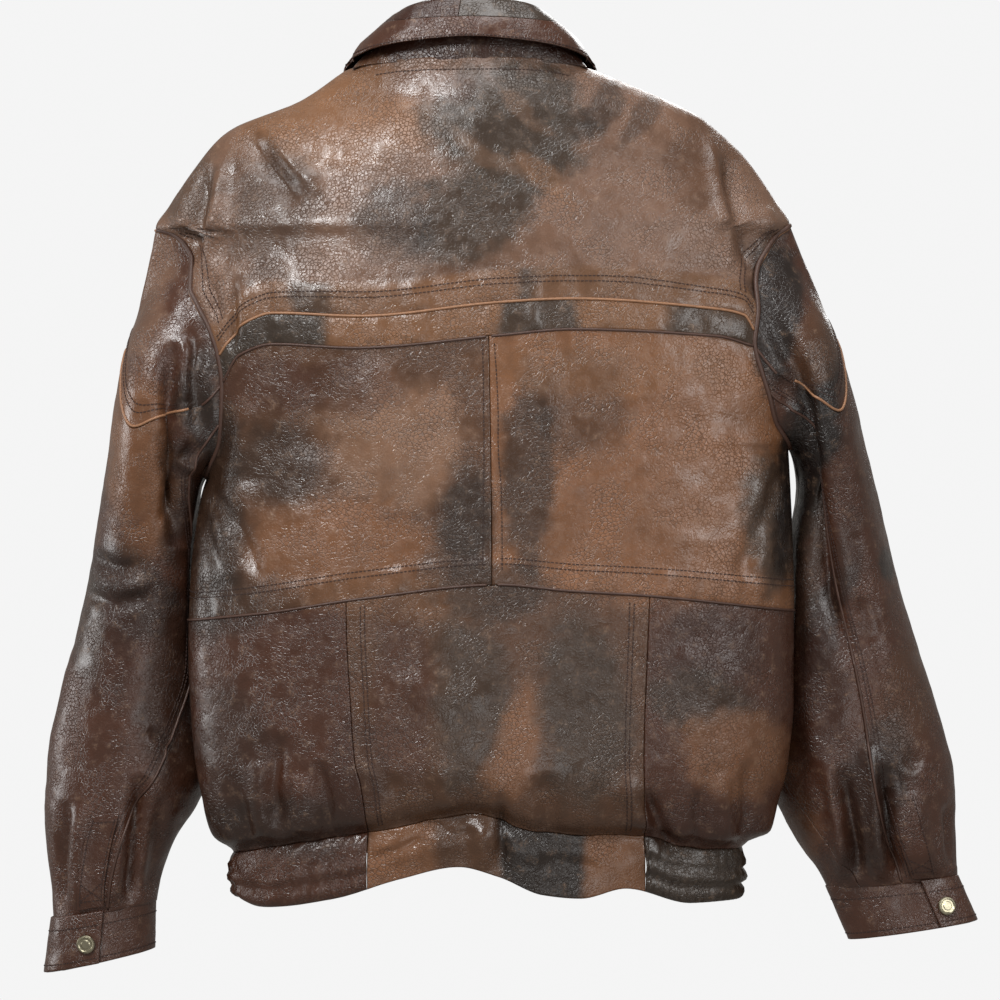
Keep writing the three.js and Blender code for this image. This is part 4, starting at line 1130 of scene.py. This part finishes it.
def zip_teeth():
    z = np.arange(ZIP["bottom"] + 2, ZIP["top"] - 22, 2.4)
    x = centre_x(z)
    p = wall_at(turn_of(x, z), z, FRONT)
    normal = wall_normal(p, FRONT)
    along = np.zeros_like(p) + np.array([0, 0, 1.0])
    return boxes(p + 0.9 * normal, along, normal, (1.3, 5.6, 1.6))


SNAP_PROFILE = [
    (0, 2.9), (3.2, 2.8), (3.9, 2.3), (5.2, 2.3), (5.9, 2.9), (6.9, 2.7), (7.6, 1.8), (7.6, 0.2), (7, 0),
]


SNAP_SIDES = 40


def snap_mesh(side):
    here = np.array([float(CUFFS[side]["snap"])])
    centre = cuff_outer(side, here, np.array([0.52]))[0]
    out = cuff_normal(side, here)[0]
    across = unit(np.cross(out, np.array([0, 0, 1.0])))
    other = np.cross(out, across)
    angles = np.arange(SNAP_SIDES) * 2 * np.pi / SNAP_SIDES
    ring = np.cos(angles)[:, None] * across + np.sin(angles)[:, None] * other
    rings = np.stack([centre + radius * ring + (height + 0.4) * out for radius, height in SNAP_PROFILE[1:]])
    index = np.arange(rings.shape[0] * SNAP_SIDES).reshape(-1, SNAP_SIDES)
    turned = np.roll(index, -1, axis=1)
    faces = np.stack([index[:-1], index[1:], turned[1:], turned[:-1]], axis=-1).reshape(-1, 4).tolist()
    return rings.reshape(-1, 3), [*faces, index[0].tolist(), index[-1][::-1].tolist()]


# --- materials

def nodes_of(name):
    material = bpy.data.materials.new(name)
    material.use_nodes = True
    tree = material.node_tree
    tree.nodes.clear()
    shader = tree.nodes.new("ShaderNodeBsdfPrincipled")
    output = tree.nodes.new("ShaderNodeOutputMaterial")
    tree.links.new(shader.outputs["BSDF"], output.inputs["Surface"])
    return material, tree, shader


def noise_node(tree, scale, detail, coordinates):
    made = tree.nodes.new("ShaderNodeTexNoise")
    made.inputs["Scale"].default_value = scale
    made.inputs["Detail"].default_value = detail
    tree.links.new(coordinates, made.inputs["Vector"])
    return made.outputs["Fac"]


def spread_of(tree, value, low, high, to_low, to_high):
    made = tree.nodes.new("ShaderNodeMapRange")
    for socket, number in zip(("From Min", "From Max", "To Min", "To Max"), (low, high, to_low, to_high)):
        made.inputs[socket].default_value = number
    tree.links.new(value, made.inputs["Value"])
    return made.outputs["Result"]


def maths(tree, kind, a, b):
    made = tree.nodes.new("ShaderNodeMath")
    made.operation = kind
    for socket, value in zip(made.inputs, (a, b)):
        if isinstance(value, (int, float)):
            socket.default_value = value
        else:
            tree.links.new(value, socket)
    return made.outputs[0]


def mixed(tree, share, a, b, kind="MIX"):
    made = tree.nodes.new("ShaderNodeMix")
    made.data_type = "RGBA"
    made.blend_type = kind
    if isinstance(share, float):
        made.inputs["Factor"].default_value = share
    else:
        tree.links.new(share, made.inputs["Factor"])
    for socket, value in ((made.inputs[6], a), (made.inputs[7], b)):
        if isinstance(value, tuple):
            socket.default_value = value
        else:
            tree.links.new(value, socket)
    return made.outputs[2]


def bump(tree, shader, height, strength, distance):
    made = tree.nodes.new("ShaderNodeBump")
    made.inputs["Strength"].default_value = strength
    made.inputs["Distance"].default_value = distance
    tree.links.new(height, made.inputs["Height"])
    tree.links.new(made.outputs["Normal"], shader.inputs["Normal"])


def place_node(tree):
    return tree.nodes.new("ShaderNodeTexCoord").outputs["Object"]


# How many of each mark fit in a metre, and the colours of dirt, rubbed grain and cracks.
GRAIN = {"clouds": 38, "smears": 130, "pores": 620, "cracks": 330}
GRIME, SCUFF, CRACK = (0.018, 0.012, 0.010, 1), (0.30, 0.185, 0.115, 1), (0.02, 0.012, 0.009, 1)


def leather():
    """Waxed and rubbed hide: the painted dye, with painted shade in the deep folds at the armholes, cloudy
    wax, fine pebbled cracks and pale rubbed grain.
    """
    material, tree, shader = nodes_of("worn_leather")
    place = place_node(tree)
    # Vertex colour: dye, and painted shade in the deep folds where the sleeves meet the body.
    dye_and_shade = tree.nodes.new("ShaderNodeAttribute")
    dye_and_shade.attribute_name = "dye_and_shade"
    clouds = noise_node(tree, GRAIN["clouds"], 5, place)
    smears = noise_node(tree, GRAIN["smears"], 4, place)
    grain = noise_node(tree, GRAIN["pores"], 3, place)
    cells = tree.nodes.new("ShaderNodeTexVoronoi")
    cells.feature = "DISTANCE_TO_EDGE"
    cells.inputs["Scale"].default_value = GRAIN["cracks"]
    tree.links.new(place, cells.inputs["Vector"])
    cracks = spread_of(tree, cells.outputs["Distance"], 0.0, 0.12, 1, 0)
    cracked = maths(tree, "MULTIPLY", cracks, spread_of(tree, clouds, 0.42, 0.62, 0, 1))
    shade = spread_of(tree, clouds, 0.3, 0.7, 0.32, 0.0)
    deep = mixed(tree, shade, dye_and_shade.outputs["Color"], GRIME)
    scuffed = spread_of(tree, smears, 0.55, 0.75, 0, 0.5)
    rubbed = maths(tree, "MULTIPLY", scuffed, spread_of(tree, grain, 0.4, 0.7, 0, 1))
    pale = mixed(tree, rubbed, deep, SCUFF)
    colour = mixed(tree, maths(tree, "MULTIPLY", cracked, 0.5), pale, CRACK)
    tree.links.new(colour, shader.inputs["Base Color"])
    wax = maths(tree, "ADD", maths(tree, "MULTIPLY", smears, 0.5), maths(tree, "MULTIPLY", clouds, 0.5))
    tree.links.new(spread_of(tree, wax, 0.38, 0.6, 0.2, 0.42), shader.inputs["Roughness"])
    shader.inputs["Specular IOR Level"].default_value = 0.62
    height = maths(tree, "ADD", maths(tree, "MULTIPLY", grain, 0.6), maths(tree, "MULTIPLY", cracked, -0.8))
    height = maths(tree, "ADD", height, maths(tree, "MULTIPLY", smears, 1.2))
    bump(tree, shader, height, 0.6, 0.0008)
    return material


def plain(name, colour, roughness, metallic=0.0, scale=300):
    material, tree, shader = nodes_of(name)
    place = place_node(tree)
    specks = noise_node(tree, scale, 3, place)
    shade = mixed(tree, spread_of(tree, specks, 0.35, 0.7, 0, 0.35), (*colour, 1), (*(0.45 * colour), 1))
    tree.links.new(shade, shader.inputs["Base Color"])
    shader.inputs["Metallic"].default_value = metallic
    shader.inputs["Roughness"].default_value = roughness
    bump(tree, shader, specks, 0.15, 0.0003)
    return material


def wood():
    material, tree, shader = nodes_of("pale_wood")
    place = tree.nodes.new("ShaderNodeMapping")
    place.inputs["Scale"].default_value = (6, 60, 90)
    tree.links.new(place_node(tree), place.inputs["Vector"])
    rings = noise_node(tree, 3, 5, place.outputs["Vector"])
    light, dark = (*srgb(226, 186, 118), 1), (*srgb(176, 124, 66), 1)
    colour = mixed(tree, spread_of(tree, rings, 0.35, 0.75, 0, 1), light, dark)
    tree.links.new(colour, shader.inputs["Base Color"])
    shader.inputs["Roughness"].default_value = 0.38
    bump(tree, shader, rings, 0.1, 0.0003)
    return material


materials = {
    "leather": leather(),
    "thread": plain("dark_thread", srgb(52, 32, 26), 0.8),
    "welt": plain("rubbed_edge", srgb(150, 108, 78), 0.5),
    "dark_welt": plain("dark_edge", srgb(74, 50, 40), 0.5),
    "tape": plain("zip_tape_cloth", srgb(48, 38, 32), 0.85),
    "brass": plain("old_zip_metal", srgb(122, 108, 84), 0.35, 1.0),
    "snap": plain("old_snap_metal", srgb(176, 170, 146), 0.32, 1.0),
    "steel": plain("bright_steel", srgb(205, 205, 205), 0.18, 1.0),
    "wood": wood(),
}

# --- making the pieces

SLOTS = {
    "leather_tan": ("back_yoke", "back_mid", "sleeve_outer"),
    "leather_dark": ("back_band", "waist_elastic", "collar", "sleeve_under", "placket"),
    "zip_tape": ("zip_tape",),
}


def slot_of(name):
    return next((slot for slot, starts in SLOTS.items() if name.startswith(starts)), "leather_brown")


for name in PIECES:
    made, flat, area = make_piece(name)
    made.data.materials.append(materials["tape" if name.startswith("zip") else "leather"])
    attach(made, BODY)
    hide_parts(name)
    slot_of(name)


def add_detail(name, parts, material, nodes=()):
    made = mesh_object(name, *joined(parts))
    rounded = np.full(len(made.data.polygons), name.startswith(("welt", "seam")))
    made.data.polygons.foreach_set("use_smooth", rounded)
    made.data.materials.append(materials[material])
    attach(made, BODY)
    if nodes:
        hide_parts(*nodes)


add_detail("stitching", stitch_rows(), "thread")
edges = welts()
add_detail("welt_pale", edges["pale"], "welt")
add_detail("seam_allowances", seam_allowances(), "dark_welt")
add_detail("welt_dark", edges["dark"], "dark_welt")
add_detail("zip_teeth", [zip_teeth()], "brass")
for side in SIDES:
    add_detail(f"snap_button_{side}", [snap_mesh(side)], "snap", [f"snap_{side}"])

KEPT = {
    "hanger_bar": "wood", "hanger_hook": "steel", "zip_chain": "brass", "zip_slider": "brass",
    "zip_pull": "brass",
}
BEVELS = {"hanger_bar": 0.0016, "zip_slider": 0.0003, "zip_pull": 0.0003}
for node, material in KEPT.items():
    kept = bpy.data.objects[node]
    kept.data.materials.clear()
    kept.data.materials.append(materials[material])
    if node in BEVELS:
        bevel = kept.modifiers.new("soft_edges", "BEVEL")
        bevel.width = BEVELS[node]
        bevel.segments = 3
        bevel.limit_method = "ANGLE"

# --- camera, light and backdrop

CAMERA_PLACE = (0.027, -4.2, -0.480)
LENS = 184
camera = bpy.data.objects.new("camera", bpy.data.cameras.new("camera"))
bpy.context.collection.objects.link(camera)
camera.location = CAMERA_PLACE
camera.rotation_euler = (math.radians(90), 0, 0)
camera.data.lens = LENS
bpy.context.scene.camera = camera
bpy.context.scene.view_settings.view_transform = "Standard"

LIGHTS = [
    ("key", (-1.4, -2.4, 1.3), 0.8, 66), ("fill", (2.2, -2.2, 0.2), 1.2, 24),
    ("top", (0.1, -0.7, 1.6), 1.4, 30), ("behind", (0.6, 2.8, 0.9), 1.6, 44),
    ("left", (-2.6, 0.4, -0.3), 1.0, 18), ("low", (0.3, -2.6, -1.2), 0.8, 6),
]
TARGET = Vector((0.02, 0, -0.45))
for name, place, size, power in LIGHTS:
    lamp = bpy.data.objects.new("light_" + name, bpy.data.lights.new("light_" + name, "AREA"))
    bpy.context.collection.objects.link(lamp)
    lamp.location = place
    lamp.data.size = size
    lamp.data.energy = power
    lamp.rotation_euler = (TARGET - Vector(place)).to_track_quat("-Z", "Y").to_euler()

world = bpy.data.worlds.new("pale_room")
world.use_nodes = True
bpy.context.scene.world = world
tree = world.node_tree
tree.nodes.clear()
rays = tree.nodes.new("ShaderNodeLightPath")
shown = tree.nodes.new("ShaderNodeBackground")
shown.inputs["Color"].default_value = (0.91, 0.91, 0.91, 1)
lighting = tree.nodes.new("ShaderNodeBackground")
lighting.inputs["Color"].default_value = (1, 0.96, 0.9, 1)
lighting.inputs["Strength"].default_value = 0.28
chosen = tree.nodes.new("ShaderNodeMixShader")
output = tree.nodes.new("ShaderNodeOutputWorld")
tree.links.new(rays.outputs["Is Camera Ray"], chosen.inputs["Fac"])
tree.links.new(lighting.outputs["Background"], chosen.inputs[1])
tree.links.new(shown.outputs["Background"], chosen.inputs[2])
tree.links.new(chosen.outputs["Shader"], output.inputs["Surface"])
